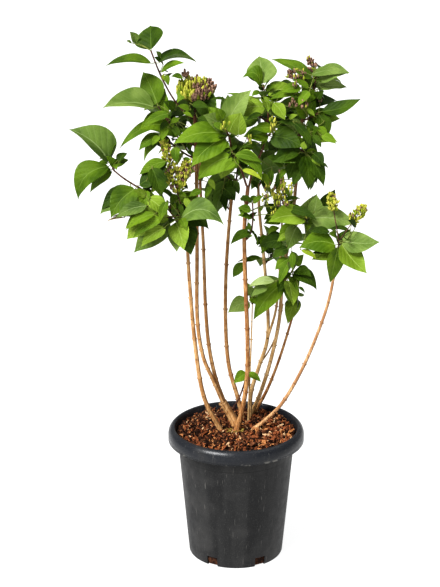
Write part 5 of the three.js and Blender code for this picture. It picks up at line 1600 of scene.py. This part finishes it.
draw = seeded(CHIPS["seed"])
for _ in range(CHIPS["count"]):
    turn = draw() * FULL_TURN
    away = CHIPS["spread"] * draw() ** 0.5
    x, y = away * math.sin(turn), away * math.cos(turn)
    even, to_front = CHIPS["coarse"]
    coarse = even + to_front * (x - y) / CHIPS["spread"]
    size = mix(*CHIPS["size"], draw() ** CHIPS["size_power"]) * coarse
    way = Vector((draw() - 0.5, draw() - 0.5, CHIPS["tilt"] * (draw() - 0.5))).normalized()
    slope = max(0, away - SOIL["level_radius"]) / (POT["mouth"] - SOIL["level_radius"])
    ground = mix(SOIL["top"], SOIL["edge"], slope)
    centre = Vector((x, y, ground + CHIPS["layers"] * (draw() - CHIPS["sunk"])))
    pick = draw()
    slot = next(k for k, share in enumerate(CHIPS["shares"]) if pick <= share)
    broad = size * mix(*CHIPS["broad"], draw())
    add_chip(centre, way, size, broad, size * mix(*CHIPS["flat"], draw()), slot, draw)
# Moss round the feet of the front stems
for _ in range(MOSS_PATCH["count"]):
    turn = draw() * FULL_TURN
    wide, deep, high = MOSS_PATCH["reach"]
    away = Vector((math.sin(turn) * wide, math.cos(turn) * deep, high * draw()))
    spot = Vector(MOSS_PATCH["middle"]) + away * draw() ** 0.5
    way = Vector((draw() - 0.5, draw() - 0.5, draw())).normalized()
    add_chip(spot, way, *MOSS_PATCH["size"], MOSS, draw)

limb_piece = limb_batch.build("stems", bark_materials)
twig_piece = twig_batch.build("twigs", bit_materials(TWIG_BITS))
bud_piece = bud_batch.build("buds", bit_materials(BUD_BITS))
leaf_pieces = {name: batch.build(f"leaves_{name}", [*leaf_materials, under_material])
               for name, batch in leaf_batches.items()}
chip_piece = chip_batch.build("mulch", bit_materials(MULCH_BITS), smooth=False)

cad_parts["soil"].data.materials.clear()
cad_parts["soil"].data.materials.append(bits("soil", *SOIL_BITS))

for piece in [pot, limb_piece, twig_piece, bud_piece, chip_piece, *leaf_pieces.values()]:
    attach(piece, "root")
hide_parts("pot")
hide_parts(*limbs)
for name, piece in leaf_pieces.items():
    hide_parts(*[mass.name for mass in masses if region_of(mass) == name])

# Floor, lights and camera: each light's direction towards it, its angle in degrees and its strength
FLOOR = dict(size=60, middle=(0, 20, 0), greys=((0.2, 0.2, 0.2), (0.21, 0.21, 0.21)), roughness=0.9,
             specular=0.5, glow=0.72)
SUNS = {
    "key": ((-0.8, -0.85, 1.2), 25, 5.0),
    "top": ((0.3, 0.1, 1.0), 50, 0.8),
    "front": ((-0.15, -1.0, 0.35), 70, 0.6),
}
SKYLIGHT = 0.35
WHITE = (1, 1, 1, 1)

bpy.ops.mesh.primitive_plane_add(size=FLOOR["size"], location=FLOOR["middle"])
floor = bpy.context.object
floor.name = "floor"
ground = Surface("floor")
greys = ground.blend(ground.step(ground.noise(scale=3, detail=5), 0.36, 0.64), *FLOOR["greys"])
floor.data.materials.append(ground.finish(greys, FLOOR["roughness"], FLOOR["specular"]))
ground.shader.inputs["Emission Color"].default_value = WHITE
ground.shader.inputs["Emission Strength"].default_value = FLOOR["glow"]

scene = bpy.context.scene
scene.world = bpy.data.worlds.new("studio")
scene.world.use_nodes = True
background = scene.world.node_tree.nodes["Background"]
background.inputs["Color"].default_value = WHITE
background.inputs["Strength"].default_value = SKYLIGHT
scene.view_settings.view_transform = "Standard"
scene.view_settings.look = "Medium High Contrast"
for name, (direction, angle, strength) in SUNS.items():
    light = bpy.data.lights.new(name, "SUN")
    light.angle = math.radians(angle)
    light.energy = strength
    lamp = bpy.data.objects.new(name, light)
    lamp.rotation_euler = (-Vector(direction)).to_track_quat("-Z", "Y").to_euler()
    scene.collection.objects.link(lamp)

camera_data = bpy.data.cameras.new("camera")
camera_data.sensor_width = CAMERA["sensor"]
camera_data.lens = CAMERA["sensor"] * CAMERA["focal"] / CAMERA["height"]
camera = bpy.data.objects.new("camera", camera_data)
camera.location = [value * MM for value in CAMERA["place"]]
camera.rotation_euler = (CAMERA["tilt"], 0, 0)
scene.collection.objects.link(camera)
scene.camera = camera

bpy.context.view_layer.update()
